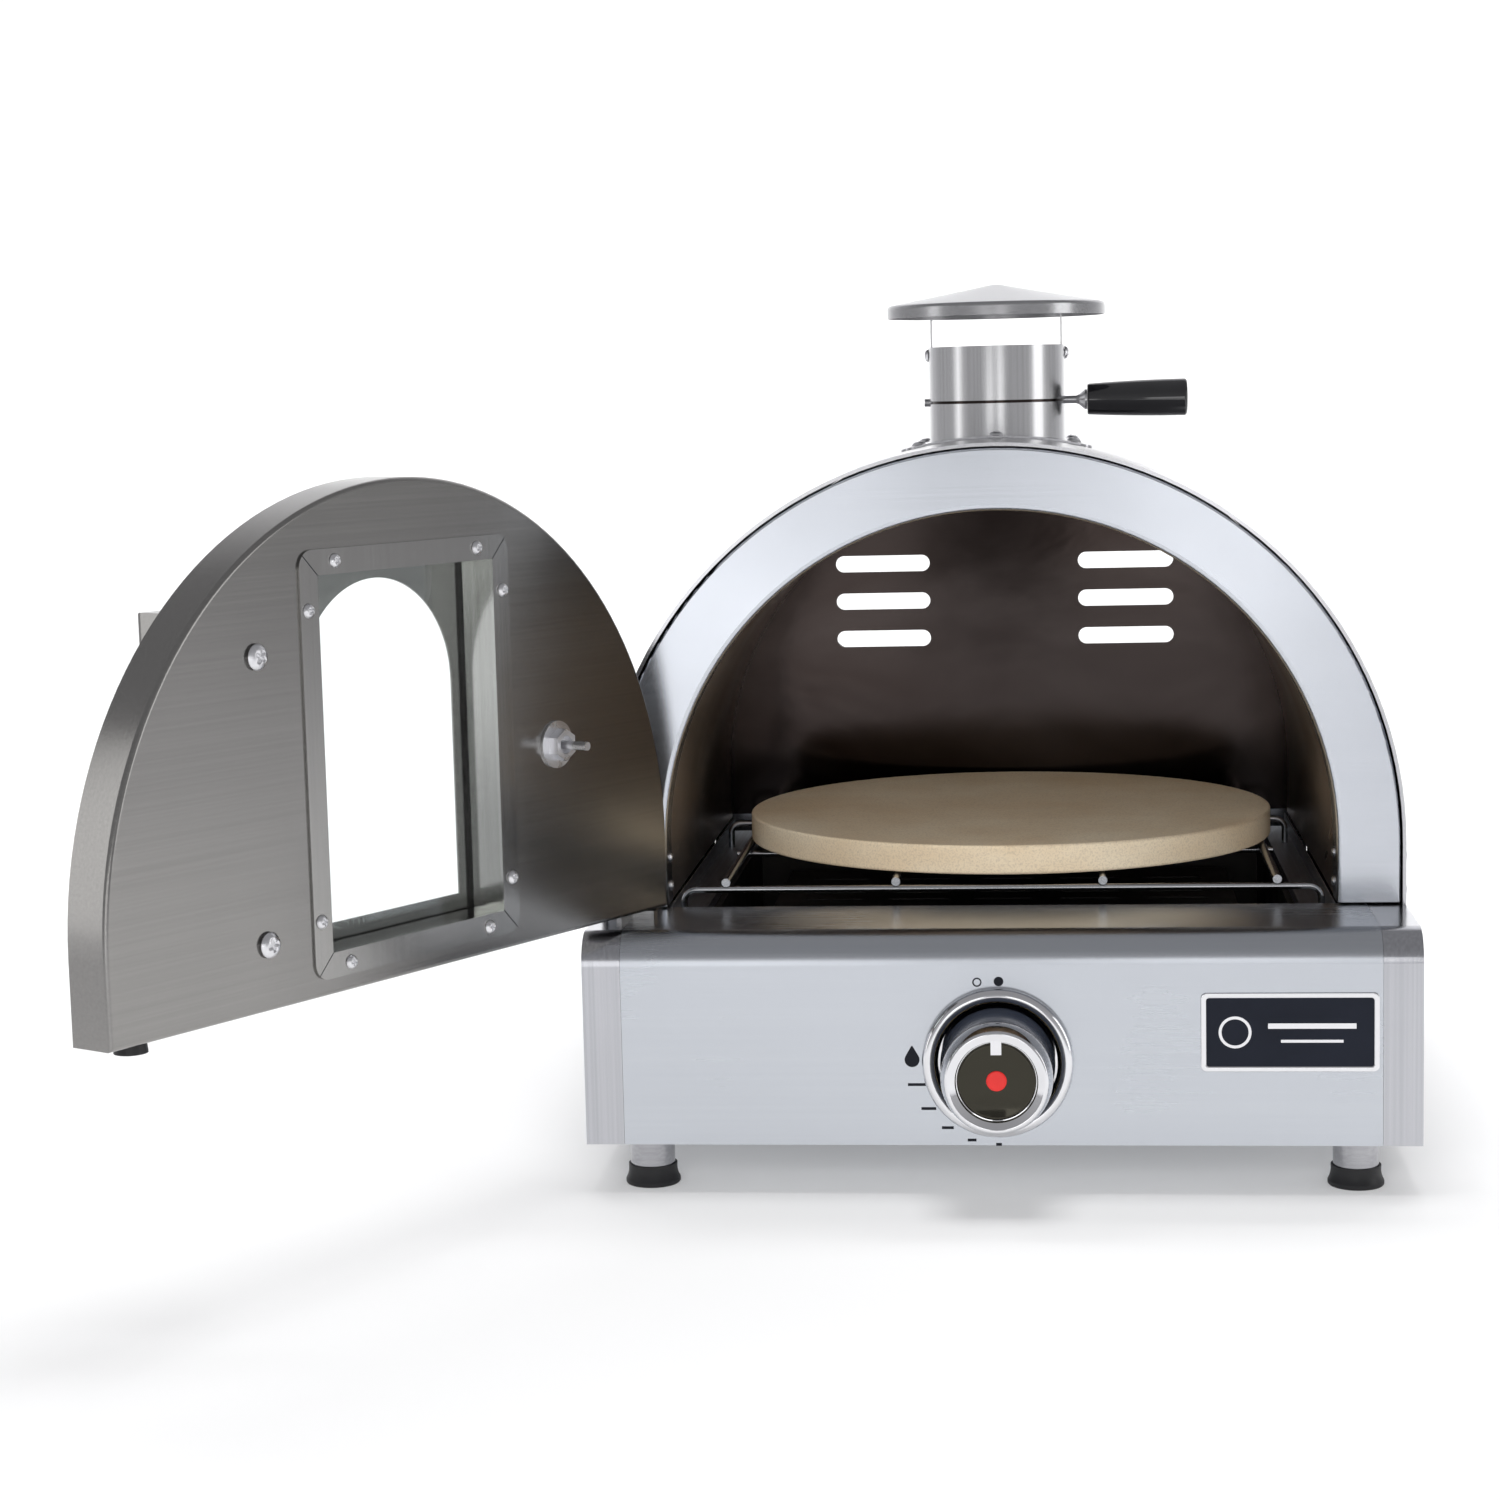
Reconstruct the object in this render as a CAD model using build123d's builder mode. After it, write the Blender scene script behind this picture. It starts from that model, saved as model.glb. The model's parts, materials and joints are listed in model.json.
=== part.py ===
"""Countertop gas pizza oven with a domed hood, a chimney with a damper and a side-hung door.

Millimetres, +Z up, +Y towards the back. The origin is on the table, in the middle of the four feet.
The door stands open, as a user leaves it while the stone is served.
"""
from math import cos, hypot, radians, sin
import os

from build123d import *

os.makedirs("parts", exist_ok=True)

# ---------------------------------------------------------------- driving dimensions
SHEET = 1.0              # stainless sheet of the panels
ARCH_FRONT = -155.0      # Y of the hood's front face
FRONT = ARCH_FRONT - 84.5          # Y of the control panel
BACK_WALL = ARCH_FRONT + 368.0     # Y of the baking chamber's back wall
REAR = ARCH_FRONT + 395.0          # Y of the rear outer panels

# base
LEDGE = 148.7            # height of the ledge in front of the hood
LIP = ARCH_FRONT + 5.0   # Y where the ledge turns down into the firebox
BASE_BOTTOM = 28.5
BULLNOSE = 17.7          # radius of the ledge's front edge
SIDE = 233.3             # half width over the side panels
SEAM = 211.6             # half width of the control panel between the side panels
FOOT_X, FOOT_Y = 199.3, 213.5
LEG_R, LEG_WALL = 12.8, 1.2
PAD_R, PAD_TOP_R, PAD_TOP = 15.7, 13.9, 11.5
BOLT_R = 4.0
TRAY_HALF, TRAY_BOTTOM = 175.5, 62.0
TRAY_FRONT, TRAY_BACK = ARCH_FRONT + 8, BACK_WALL - 2

# hood
HOOD_R = 233.5           # outside of the hood's skin
AXIS_Z = 184.7           # height of the hood's centre line
MOUTH_R = 194.5          # radius of the mouth, inside the fascia
LINER_R = 195.7          # inside of the chamber's liner
BLANKET_R = 226.0        # outside of the insulation
FASCIA_DEPTH = 24.0
REVEAL = 2.0             # the skin's hemmed edge stands this far in front of the fascia
TRIM_HOLE, TRIM_HEAD, TRIM_HEAD_HIGH, TRIM_SHANK = 2.1, 3.4, 1.6, 1.9
SLOT_X, SLOT_LONG, SLOT_WIDE = 84.7, 66.0, 11.4
SLOT_ROWS = (327.6, 301.2, 274.8)

# stone, rack and firebox
STONE_R, STONE_BOTTOM, STONE_THICK = 166.5, 163.2, 17.3
STONE_X, STONE_Y = 4.0, ARCH_FRONT + 192.0
CROSS_R, BAR_R = 2.0, 2.6          # wires of the rack
CROSS_Z = 155.4
BAR_Z = CROSS_Z + CROSS_R + BAR_R - 0.25
BAR_X = (61.0, 162.4)
RACK_HALF = 188.0
RACK_FRONT, RACK_MID, RACK_REAR = ARCH_FRONT + 26, ARCH_FRONT + 160, ARCH_FRONT + 292
RAIL_Z = 139.0
RAIL_INNER, RAIL_OUTER, RAIL_TOP = 178.0, 194.4, 148.4
SHIELD_HALF, SHIELD_Z = 150.0, 116.0
SHIELD_FOOT = TRAY_BOTTOM + 1.3
BURNER_Z, BURNER_R, HEADER_R, BURNER_X = 88.0, 11.0, 12.5, 82.0
BURNER_FRONT, BURNER_BACK = ARCH_FRONT + 62, ARCH_FRONT + 318
IGNITER_X, IGNITER_R = 60.0, 3.5

# chimney
FLUE_Y = ARCH_FRONT + 191.6
FLUE_R = 43.0
FLUE_LOW, FLUE_TOP, SEAM_Z = 376.0, 475.0, 440.3
SADDLE = 59.0            # half width of the square flange
CAP_R, CAP_RIM, CAP_APEX = 68.7, 493.5, 513.6
STRAP_X, STRAP_TOP, STRAP_WIDE = 40.4, 504.2, 12.0
SPINDLE_R = 2.5
HANDLE_START, HANDLE_END = 57.0, 119.6

# gas valve and control knob
INLET_X, INLET_Z = -120.0, 46.0
INLET_R, INLET_LENGTH = 7.94, 17.5
VALVE_REAR = FRONT + 34.0
PIPE_R, PIPE_BORE = 3.1, 2.2
KNOB_Z = 76.2
KNOB_TRAVEL = 4.0
KNOB_BACK, KNOB_FACE = FRONT - 6.0, FRONT - 50.0
SKIRT_END = FRONT - 34.0
STEM_R = 3.0
BEZEL_R, RECESS_R = 41.6, 33.2
PLATE_X, PLATE_Z, PLATE_WIDE, PLATE_HIGH = 160.8, 92.8, 97.4, 44.4

# door
DOOR_HALF, DOOR_LEG, DOOR_DEPTH = 214.8, 41.5, 25.6
DOOR_BOTTOM = 155.5
DOOR_GAP = 5.0           # between the closed door's inner face and the hood
DOOR_OPEN = 119.3        # degrees from closed in the modelled position
PIVOT_X, PIVOT_Y = -209.5, ARCH_FRONT - 24.3
PIN_R, PIN_CLEARANCE = 3.0, 0.05
WINDOW_HALF, WINDOW_LOW, WINDOW_HIGH = 66.5, 21.5, 210.5
FRAME_LAP = 12.8         # width of the window frame's flange
PANE_HALF, PANE_LOW, PANE_ARCH = 58.0, 30.5, 146.5
GLASS_DEPTH, GLASS = 20.3, 4.0
HANDLE_X, HANDLE_LOW, HANDLE_HIGH = 110.5, 33.0, 174.0
GRIP_NEAR, GRIP_FAR, GRIP_HALF = 49.0, 73.0, 9.0
GRIP_LOW, GRIP_HIGH = 12.5, 194.5
DOOR_FOOT_X, DOOR_FOOT_R = 191.0, 7.6
THERMO_X, THERMO_Y = -116.5, 105.8
DIAL_R, CASE_DEPTH = 27.0, 11.0
CASE_BACK = DOOR_DEPTH + 0.1
POINTER_REST = 45        # degrees below the level on the dial's left


# ---------------------------------------------------------------- shared shapes and planes
def facing(y):
    """Upright plane at y, seen from the front: local x is X, local y is Z."""
    return Plane(origin=(0, y, 0), x_dir=(1, 0, 0), z_dir=(0, -1, 0))


def arch(radius, bottom, mode=Mode.ADD, centre=AXIS_Z):
    """Half circle on two straight legs, in the open sketch."""
    with BuildLine() as outline:
        Polyline((radius, centre), (radius, bottom), (-radius, bottom), (-radius, centre))
        ThreePointArc((-radius, centre), (0, centre + radius), (radius, centre))
    make_face(outline.edges(), mode=mode)


def arch_shell(outer, inner, bottom, front, depth):
    """Barrel of the hood's section from y = front to front + depth, in the open part."""
    with BuildSketch(facing(front + depth)) as section:
        arch(outer, bottom)
        arch(inner, bottom, Mode.SUBTRACT)
    extrude(section.sketch, amount=depth)


def tube(plane, outer, inner, length):
    """Length of tube standing on a plane, in the open part."""
    with BuildSketch(plane) as section:
        Circle(outer)
        if inner:
            Circle(inner, mode=Mode.SUBTRACT)
    extrude(section.sketch, amount=length)


def cut(plane, radius, depth):
    """Round hole of a depth below a plane, in the open part."""
    with BuildSketch(plane) as hole:
        Circle(radius)
    extrude(hole.sketch, amount=-depth, mode=Mode.SUBTRACT)


def screws(planes, head_r, head_h, shank_r, shank):
    """Pan-head screws, one on each plane, in the open part."""
    for plane in planes:
        tube(plane.offset(-shank), shank_r, None, shank)
        with BuildSketch(plane) as head:
            Circle(head_r)
        extrude(head.sketch, amount=head_h, taper=24)


def save(part, name):
    part.part.label = name
    export_step(part.part, f"parts/{name}.step")


def flue_plane(z):
    return Plane(origin=(0, FLUE_Y, z))


def side_plane(side, x, y, z):
    """Plane on a flank of the oven whose normal points away from the centre plane if side is x's sign."""
    return Plane(origin=(x, y, z), x_dir=(0, side, 0), z_dir=(side, 0, 0))


def base_outline(inset):
    """The base's side view, Y across and Z up: square but for the rounded front edge."""
    front, top, low, back = FRONT + inset, LEDGE - inset, BASE_BOTTOM + inset, REAR - inset
    bend = BULLNOSE - inset
    with BuildLine() as outline:
        Polyline((front, top - bend), (front, low), (back, low), (back, top), (front + bend, top))
        RadiusArc((front + bend, top), (front, top - bend), -bend)
    make_face(outline.edges())


# ---------------------------------------------------------------- base
with BuildPart() as base_front_panel:
    with BuildSketch(Plane.YZ.offset(-SEAM + 0.15)):
        with BuildLine():
            bend = BULLNOSE
            Polyline((FRONT + 20, BASE_BOTTOM), (FRONT, BASE_BOTTOM), (FRONT, LEDGE - bend))
            RadiusArc((FRONT, LEDGE - bend), (FRONT + bend, LEDGE), bend)
            Polyline((FRONT + bend, LEDGE), (LIP, LEDGE), (LIP, LEDGE - 14))
            Polyline((LIP, LEDGE - 14), (LIP - SHEET, LEDGE - 14), (LIP - SHEET, LEDGE - SHEET),
                     (FRONT + bend, LEDGE - SHEET))
            RadiusArc((FRONT + bend, LEDGE - SHEET), (FRONT + SHEET, LEDGE - bend), SHEET - bend)
            Polyline((FRONT + SHEET, LEDGE - bend), (FRONT + SHEET, BASE_BOTTOM + SHEET),
                     (FRONT + 20, BASE_BOTTOM + SHEET), (FRONT + 20, BASE_BOTTOM))
        make_face()
    extrude(amount=2 * (SEAM - 0.15))
    with BuildSketch(facing(FRONT - 1)):
        with Locations((0, KNOB_Z)):
            Circle(33.5)
    extrude(amount=-4, mode=Mode.SUBTRACT)
    cut(Plane(origin=(PIVOT_X + 3, PIVOT_Y + 8, LEDGE + 1)), 2.2, 4)
save(base_front_panel, "base_front_panel")

with BuildPart() as base_side_right:
    with BuildSketch(Plane.YZ.offset(SEAM)):
        base_outline(0)
    extrude(amount=SIDE - SEAM)
    with BuildSketch(Plane.YZ.offset(SEAM)):
        base_outline(SHEET)
    extrude(amount=SIDE - SEAM - SHEET, mode=Mode.SUBTRACT)
    with BuildSketch(Plane.XY.offset(LEDGE)):
        with Locations(((SEAM + SIDE) / 2 - SHEET, (LIP + REAR) / 2)):
            Rectangle(SIDE - SEAM, REAR - LIP - 2 * SHEET)
    extrude(amount=-SHEET, mode=Mode.SUBTRACT)
save(base_side_right, "base_side_right")

with BuildPart() as base_side_left:
    mirror(base_side_right.part, about=Plane.YZ)
save(base_side_left, "base_side_left")

with BuildPart() as base_back_panel:
    with BuildSketch(facing(REAR)):
        with Locations((0, (LEDGE + BASE_BOTTOM) / 2)):
            Rectangle(2 * SEAM - 0.6, LEDGE - BASE_BOTTOM - 2 * SHEET - 0.6)
        with Locations((0, 100)):
            with GridLocations(70, 16, 5, 3):
                SlotOverall(46, 6, mode=Mode.SUBTRACT)
        with Locations((INLET_X, INLET_Z)):
            Circle(8.2, mode=Mode.SUBTRACT)
    extrude(amount=SHEET)
save(base_back_panel, "base_back_panel")

FLOOR_Z = BASE_BOTTOM + SHEET + 0.2
FOOT_SPOTS = [(x, y) for x in (-FOOT_X, FOOT_X) for y in (-FOOT_Y, FOOT_Y)]
with BuildPart() as base_floor:
    with BuildSketch(Plane.XY.offset(FLOOR_Z)):
        with Locations((0, (FRONT + REAR) / 2)):
            Rectangle(2 * SIDE - 2 * SHEET - 0.6, REAR - FRONT - 2 * SHEET - 1)
        with Locations((0, 30)):
            with GridLocations(60, 90, 5, 3):
                SlotOverall(44, 10, mode=Mode.SUBTRACT)
        with Locations(*FOOT_SPOTS):
            Circle(BOLT_R + 0.2, mode=Mode.SUBTRACT)
    extrude(amount=SHEET)
save(base_floor, "base_floor")

LEG_TOP = BASE_BOTTOM - 0.1
with BuildPart() as leg_tubes:
    for x, y in FOOT_SPOTS:
        tube(Plane(origin=(x, y, 3)), LEG_R, LEG_R - LEG_WALL, LEG_TOP - 3)
        tube(Plane(origin=(x, y, LEG_TOP - 4)), LEG_R - LEG_WALL, BOLT_R + 0.2, 4)
save(leg_tubes, "leg_tubes")

with BuildPart() as foot_pads:
    for x, y in FOOT_SPOTS:
        with BuildSketch(Plane(origin=(x, y, 0), x_dir=(1, 0, 0), z_dir=(0, -1, 0))):
            with BuildLine():
                Polyline((0, 0), (PAD_R - 0.6, 0), (PAD_R, 0.8), (PAD_R, 2.6))
                ThreePointArc((PAD_R, 2.6), (PAD_TOP_R + 0.3, 6.4), (PAD_TOP_R + 0.1, PAD_TOP - 1.2))
                Polyline((PAD_TOP_R + 0.1, PAD_TOP - 1.2), (PAD_TOP_R + 0.1, PAD_TOP),
                         (LEG_R + 0.1, PAD_TOP), (LEG_R + 0.1, 2.9), (0, 2.9), (0, 0))
            make_face()
        revolve(axis=Axis((x, y, 0), (0, 0, 1)))
save(foot_pads, "foot_pads")

with BuildPart() as leg_bolts:
    for x, y in FOOT_SPOTS:
        tube(Plane(origin=(x, y, 14)), BOLT_R, None, FLOOR_Z + SHEET - 14)
        with BuildSketch(Plane(origin=(x, y, FLOOR_Z + SHEET))):
            RegularPolygon(7.5, 6)
        extrude(amount=5.3)
save(leg_bolts, "leg_bolts")

with BuildPart() as firebox_tray:
    mid = (TRAY_FRONT + TRAY_BACK) / 2
    with BuildSketch(Plane.XY.offset(TRAY_BOTTOM)):
        with Locations((0, mid)):
            Rectangle(2 * TRAY_HALF, TRAY_BACK - TRAY_FRONT)
    extrude(amount=RAIL_Z - 7 - TRAY_BOTTOM)
    with BuildSketch(Plane.XY.offset(TRAY_BOTTOM + SHEET)):
        with Locations((0, mid)):
            Rectangle(2 * (TRAY_HALF - SHEET), TRAY_BACK - TRAY_FRONT - 2 * SHEET)
    extrude(amount=RAIL_Z, mode=Mode.SUBTRACT)
    with BuildSketch(Plane.XY.offset(RAIL_Z - 7 - SHEET)):
        for side in (-1, 1):
            with Locations((side * (TRAY_HALF + 8.5), mid)):
                Rectangle(18, TRAY_BACK - TRAY_FRONT)
    extrude(amount=SHEET)
    with BuildSketch(facing(TRAY_FRONT - 1)):
        with Locations((0, KNOB_Z)):
            Circle(12.5)
    extrude(amount=-4, mode=Mode.SUBTRACT)
    with BuildSketch(Plane.XY.offset(TRAY_BOTTOM)):
        with Locations((0, mid)):
            with GridLocations(56, 70, 5, 4):
                SlotOverall(36, 6)
    extrude(amount=SHEET, mode=Mode.SUBTRACT)
save(firebox_tray, "firebox_tray")

with BuildPart() as rack_rails:
    for side in (-1, 1):
        with BuildSketch(facing(BACK_WALL - 3)):
            hook = RAIL_INNER + SHEET
            corner = [(RAIL_OUTER, RAIL_TOP), (RAIL_OUTER, RAIL_Z - SHEET), (hook, RAIL_Z - SHEET),
                      (hook, RAIL_Z - 6), (RAIL_INNER, RAIL_Z - 6), (RAIL_INNER, RAIL_Z),
                      (RAIL_OUTER - SHEET, RAIL_Z), (RAIL_OUTER - SHEET, RAIL_TOP), (RAIL_OUTER, RAIL_TOP)]
            with BuildLine():
                Polyline(*[(side * x, z) for x, z in corner])
            make_face()
        extrude(amount=BACK_WALL - 3 - LIP - 4)
    for side in (-1, 1):
        for y in (RACK_FRONT, RACK_REAR):
            cut(Plane(origin=(side * RACK_HALF, y, RAIL_Z + 1)), CROSS_R + 0.5, 4)
save(rack_rails, "rack_rails")

# ---------------------------------------------------------------- hood
HOOD_LOW = LEDGE + 0.2
INNER_SCREWS = [(AXIS_Z - 8, 17.5), (AXIS_Z - 25, 17.5)]
OUTER_SCREWS = [(AXIS_Z - 9, 8.5), (AXIS_Z - 29, 8.5)]


def leg_screw_planes(radius, spots, outward):
    """A plane for each screw of the hood's two legs; outward says which way its head points."""
    return [side_plane(side if outward else -side, side * radius, ARCH_FRONT + back, z)
            for side in (-1, 1) for z, back in spots]


with BuildPart() as dome_skin:
    arch_shell(HOOD_R, HOOD_R - SHEET, HOOD_LOW, ARCH_FRONT - REVEAL, REAR + 2 - ARCH_FRONT + REVEAL)
    arch_shell(HOOD_R - SHEET, HOOD_R - 2 * SHEET, HOOD_LOW, ARCH_FRONT - REVEAL, 7)
    with BuildSketch(flue_plane(AXIS_Z + 100)):
        Circle(FLUE_R + 1)
    extrude(amount=150, mode=Mode.SUBTRACT)
    for plane in leg_screw_planes(HOOD_R, OUTER_SCREWS, True):
        cut(plane, TRIM_HOLE, 3)
save(dome_skin, "dome_skin")

FASCIA_R = HOOD_R - 2.9
with BuildPart() as front_fascia:
    arch_shell(FASCIA_R, MOUTH_R, LEDGE + 1.3, ARCH_FRONT, FASCIA_DEPTH)
    face_edges = front_fascia.faces().sort_by(Axis.Y)[0].edges()
    rolled = [e for e in face_edges
              if abs(hypot((e @ 0.5).X, max((e @ 0.5).Z - AXIS_Z, 0)) - MOUTH_R) < 0.01]
    fillet(rolled, radius=3.5)
    outer = [e for e in front_fascia.faces().sort_by(Axis.Y)[0].edges()
             if abs(hypot((e @ 0.5).X, max((e @ 0.5).Z - AXIS_Z, 0)) - FASCIA_R) < 0.01]
    fillet(outer, radius=1.5)
    offset(amount=-SHEET, openings=front_fascia.faces().sort_by(Axis.Y)[-1])
    with BuildSketch(Plane.XY.offset(LEDGE)):
        for side in (-1, 1):
            with Locations((side * (LINER_R + SHEET / 2), ARCH_FRONT + 18)):
                Rectangle(SHEET + 0.6, 13)
    extrude(amount=4, mode=Mode.SUBTRACT)
    for plane in leg_screw_planes(MOUTH_R, INNER_SCREWS, False):
        cut(plane, TRIM_HOLE, 3)
save(front_fascia, "front_fascia")

with BuildPart() as inner_liner:
    arch_shell(LINER_R + SHEET, LINER_R, HOOD_LOW, ARCH_FRONT + 12, BACK_WALL - ARCH_FRONT - 12)
    with BuildSketch(flue_plane(AXIS_Z + 100)):
        Circle(FLUE_R + 0.6)
    extrude(amount=110, mode=Mode.SUBTRACT)
    for plane in leg_screw_planes(MOUTH_R, INNER_SCREWS, False):
        cut(plane, TRIM_HOLE, 3)
save(inner_liner, "inner_liner")

with BuildPart() as insulation_blanket:
    arch_shell(BLANKET_R, LINER_R + SHEET + 0.5, LEDGE + 3, ARCH_FRONT + 27, BACK_WALL - ARCH_FRONT - 28)
    with BuildSketch(flue_plane(AXIS_Z + 100)):
        Circle(FLUE_R + 2)
    extrude(amount=150, mode=Mode.SUBTRACT)
save(insulation_blanket, "insulation_blanket")


def vent_slots(grow):
    with Locations(*[(side * SLOT_X, z) for side in (-1, 1) for z in SLOT_ROWS]):
        SlotOverall(SLOT_LONG + grow, SLOT_WIDE + grow, mode=Mode.SUBTRACT)


with BuildPart() as inner_back_wall:
    with BuildSketch(facing(BACK_WALL + 0.3 + SHEET)):
        arch(BLANKET_R + 2, LEDGE + 2)
        with Locations((0, (LEDGE + 2 + TRAY_BOTTOM) / 2)):
            Rectangle(2 * TRAY_HALF, LEDGE + 2 - TRAY_BOTTOM)
        vent_slots(0)
    extrude(amount=SHEET)
save(inner_back_wall, "inner_back_wall")

with BuildPart() as rear_cover:
    arch_shell(HOOD_R - SHEET - 0.3, HOOD_R - 2 * SHEET - 0.3, HOOD_LOW, REAR - 16, 16)
    with BuildSketch(facing(REAR)):
        arch(HOOD_R - SHEET - 0.3, HOOD_LOW)
        vent_slots(5)
    extrude(amount=SHEET)
save(rear_cover, "rear_cover")

with BuildPart() as fascia_screws:
    screws(leg_screw_planes(MOUTH_R - 0.02, INNER_SCREWS, False), TRIM_HEAD, TRIM_HEAD_HIGH, TRIM_SHANK, 4)
    screws(leg_screw_planes(HOOD_R + 0.02, OUTER_SCREWS, True), TRIM_HEAD, TRIM_HEAD_HIGH, TRIM_SHANK, 2.5)
save(fascia_screws, "fascia_screws")

# ---------------------------------------------------------------- chimney
SADDLE_SCREWS = [(x, y) for x in (-48, 0, 48) for y in (-52, 52)]


def saddle_plane(x, dy):
    """Plane touching the top of the saddle at x, dy from the flue's centre, with its normal outward."""
    lean = x / (HOOD_R + 1.4)
    height = AXIS_Z + (HOOD_R + 1.4) * (1 - lean * lean) ** 0.5
    return Plane(origin=(x, FLUE_Y + dy, height), x_dir=(0, 1, 0), z_dir=(lean, 0, (1 - lean * lean) ** 0.5))


with BuildPart() as chimney_flange:
    arch_shell(HOOD_R + 1.3, HOOD_R + 0.1, AXIS_Z - 5, FLUE_Y - SADDLE, 2 * SADDLE)
    with BuildSketch(flue_plane(AXIS_Z)):
        RectangleRounded(2 * SADDLE, 2 * SADDLE, 8)
    extrude(amount=300, mode=Mode.INTERSECT)
    with BuildSketch(flue_plane(AXIS_Z)):
        Circle(FLUE_R + 0.2)
    extrude(amount=300, mode=Mode.SUBTRACT)
    for x, dy in SADDLE_SCREWS:
        cut(saddle_plane(x, dy).offset(1), TRIM_HOLE, 4)
save(chimney_flange, "chimney_flange")

with BuildPart() as flange_screws:
    screws([saddle_plane(x, dy) for x, dy in SADDLE_SCREWS], 4.6, 2.4, TRIM_SHANK, 1.3)
save(flange_screws, "flange_screws")

with BuildPart() as chimney_pipe_lower:
    tube(flue_plane(FLUE_LOW), FLUE_R, FLUE_R - SHEET, SEAM_Z - 0.9 - FLUE_LOW)
    cut(side_plane(1, FLUE_R + 2, FLUE_Y, SEAM_Z), SPINDLE_R + 0.3, 2 * FLUE_R + 4)
save(chimney_pipe_lower, "chimney_pipe_lower")

with BuildPart() as chimney_pipe_upper:
    tube(flue_plane(SEAM_Z + 0.9), FLUE_R, FLUE_R - SHEET, FLUE_TOP - SEAM_Z - 0.9)
    cut(side_plane(1, FLUE_R + 2, FLUE_Y, SEAM_Z), SPINDLE_R + 0.3, 2 * FLUE_R + 4)
    cut(side_plane(1, FLUE_R + 2, FLUE_Y, FLUE_TOP - 5), TRIM_HOLE, 2 * FLUE_R + 4)
save(chimney_pipe_upper, "chimney_pipe_upper")

with BuildPart() as chimney_sleeve:
    tube(flue_plane(SEAM_Z - 15), FLUE_R - SHEET - 0.05, FLUE_R - 2 * SHEET, 33)
    cut(side_plane(1, FLUE_R + 2, FLUE_Y, SEAM_Z), SPINDLE_R + PIN_CLEARANCE, 2 * FLUE_R + 4)
save(chimney_sleeve, "chimney_sleeve")

with BuildPart() as damper_plate:
    tube(flue_plane(SEAM_Z - 3.9), FLUE_R - 2 * SHEET - 0.5, None, 1.2)
save(damper_plate, "damper_plate")

with BuildPart() as damper_spindle:
    with BuildSketch(facing(FLUE_Y)):
        with BuildLine():
            Polyline((-FLUE_R - 3, SEAM_Z), (-FLUE_R - 3, SEAM_Z + SPINDLE_R), (50, SEAM_Z + SPINDLE_R),
                     (52, SEAM_Z + 3.4), (55.5, SEAM_Z + 6.5), (HANDLE_START - 0.1, SEAM_Z + 6.5),
                     (HANDLE_START - 0.1, SEAM_Z), (-FLUE_R - 3, SEAM_Z))
        make_face()
    revolve(axis=Axis((0, FLUE_Y, SEAM_Z), (1, 0, 0)))
    with BuildSketch(flue_plane(SEAM_Z - 4)):
        Rectangle(2 * FLUE_R - 12, 12)
    extrude(amount=-SPINDLE_R, mode=Mode.SUBTRACT)
    with BuildSketch(flue_plane(SEAM_Z - 2.6)):
        Rectangle(2 * FLUE_R - 12, 7)
    extrude(amount=1.4)
save(damper_spindle, "damper_spindle")

with BuildPart() as damper_handle:
    with BuildSketch(facing(FLUE_Y)):
        with BuildLine():
            Polyline((HANDLE_START, SEAM_Z), (HANDLE_START, SEAM_Z + 9.2), (HANDLE_START + 0.8, SEAM_Z + 9.8))
            Spline((HANDLE_START + 0.8, SEAM_Z + 9.8), ((HANDLE_START + HANDLE_END) / 2, SEAM_Z + 11.2),
                   (HANDLE_END - 2, SEAM_Z + 11.6))
            ThreePointArc((HANDLE_END - 2, SEAM_Z + 11.6), (HANDLE_END - 0.5, SEAM_Z + 11),
                          (HANDLE_END, SEAM_Z + 9.6))
            Polyline((HANDLE_END, SEAM_Z + 9.6), (HANDLE_END, SEAM_Z), (HANDLE_START, SEAM_Z))
        make_face()
    revolve(axis=Axis((0, FLUE_Y, SEAM_Z), (1, 0, 0)))
save(damper_handle, "damper_handle")

with BuildPart() as chimney_cap:
    with BuildSketch(facing(FLUE_Y)):
        with BuildLine():
            shoulder = (CAP_R - 2.4, CAP_RIM + 8.2)
            Line((0, CAP_APEX), (3, CAP_APEX - 0.1))
            Spline((3, CAP_APEX - 0.1), (22, CAP_APEX - 3.7), shoulder)
            ThreePointArc(shoulder, (CAP_R - 0.5, CAP_RIM + 7.1), (CAP_R, CAP_RIM + 5.4))
            Polyline((CAP_R, CAP_RIM + 5.4), (CAP_R, CAP_RIM), (CAP_R - SHEET, CAP_RIM),
                     (CAP_R - SHEET, CAP_RIM + 5.2))
            ThreePointArc((CAP_R - SHEET, CAP_RIM + 5.2), (CAP_R - 1.4, CAP_RIM + 6.3),
                          (CAP_R - 2.8, CAP_RIM + 7.2))
            Spline((CAP_R - 2.8, CAP_RIM + 7.2), (22, CAP_APEX - 4.8), (3, CAP_APEX - 1.1))
            Polyline((3, CAP_APEX - 1.1), (0, CAP_APEX - 1.1), (0, CAP_APEX))
        make_face()
    revolve(axis=Axis((0, FLUE_Y, 0), (0, 0, 1)))
save(chimney_cap, "chimney_cap")

with BuildPart() as cap_straps:
    for side in (-1, 1):
        with BuildSketch(side_plane(side, side * STRAP_X, FLUE_Y, 0)):
            with Locations((0, (FLUE_TOP - 13 + STRAP_TOP) / 2)):
                Rectangle(STRAP_WIDE, STRAP_TOP - FLUE_TOP + 13)
            with Locations((0, FLUE_TOP - 5)):
                Circle(TRIM_HOLE, mode=Mode.SUBTRACT)
        extrude(amount=SHEET)
        with BuildSketch(Plane(origin=(side * (STRAP_X - 5), FLUE_Y, STRAP_TOP))):
            Rectangle(STRAP_WIDE, STRAP_WIDE)
        extrude(amount=-SHEET)
save(cap_straps, "cap_straps")

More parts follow.
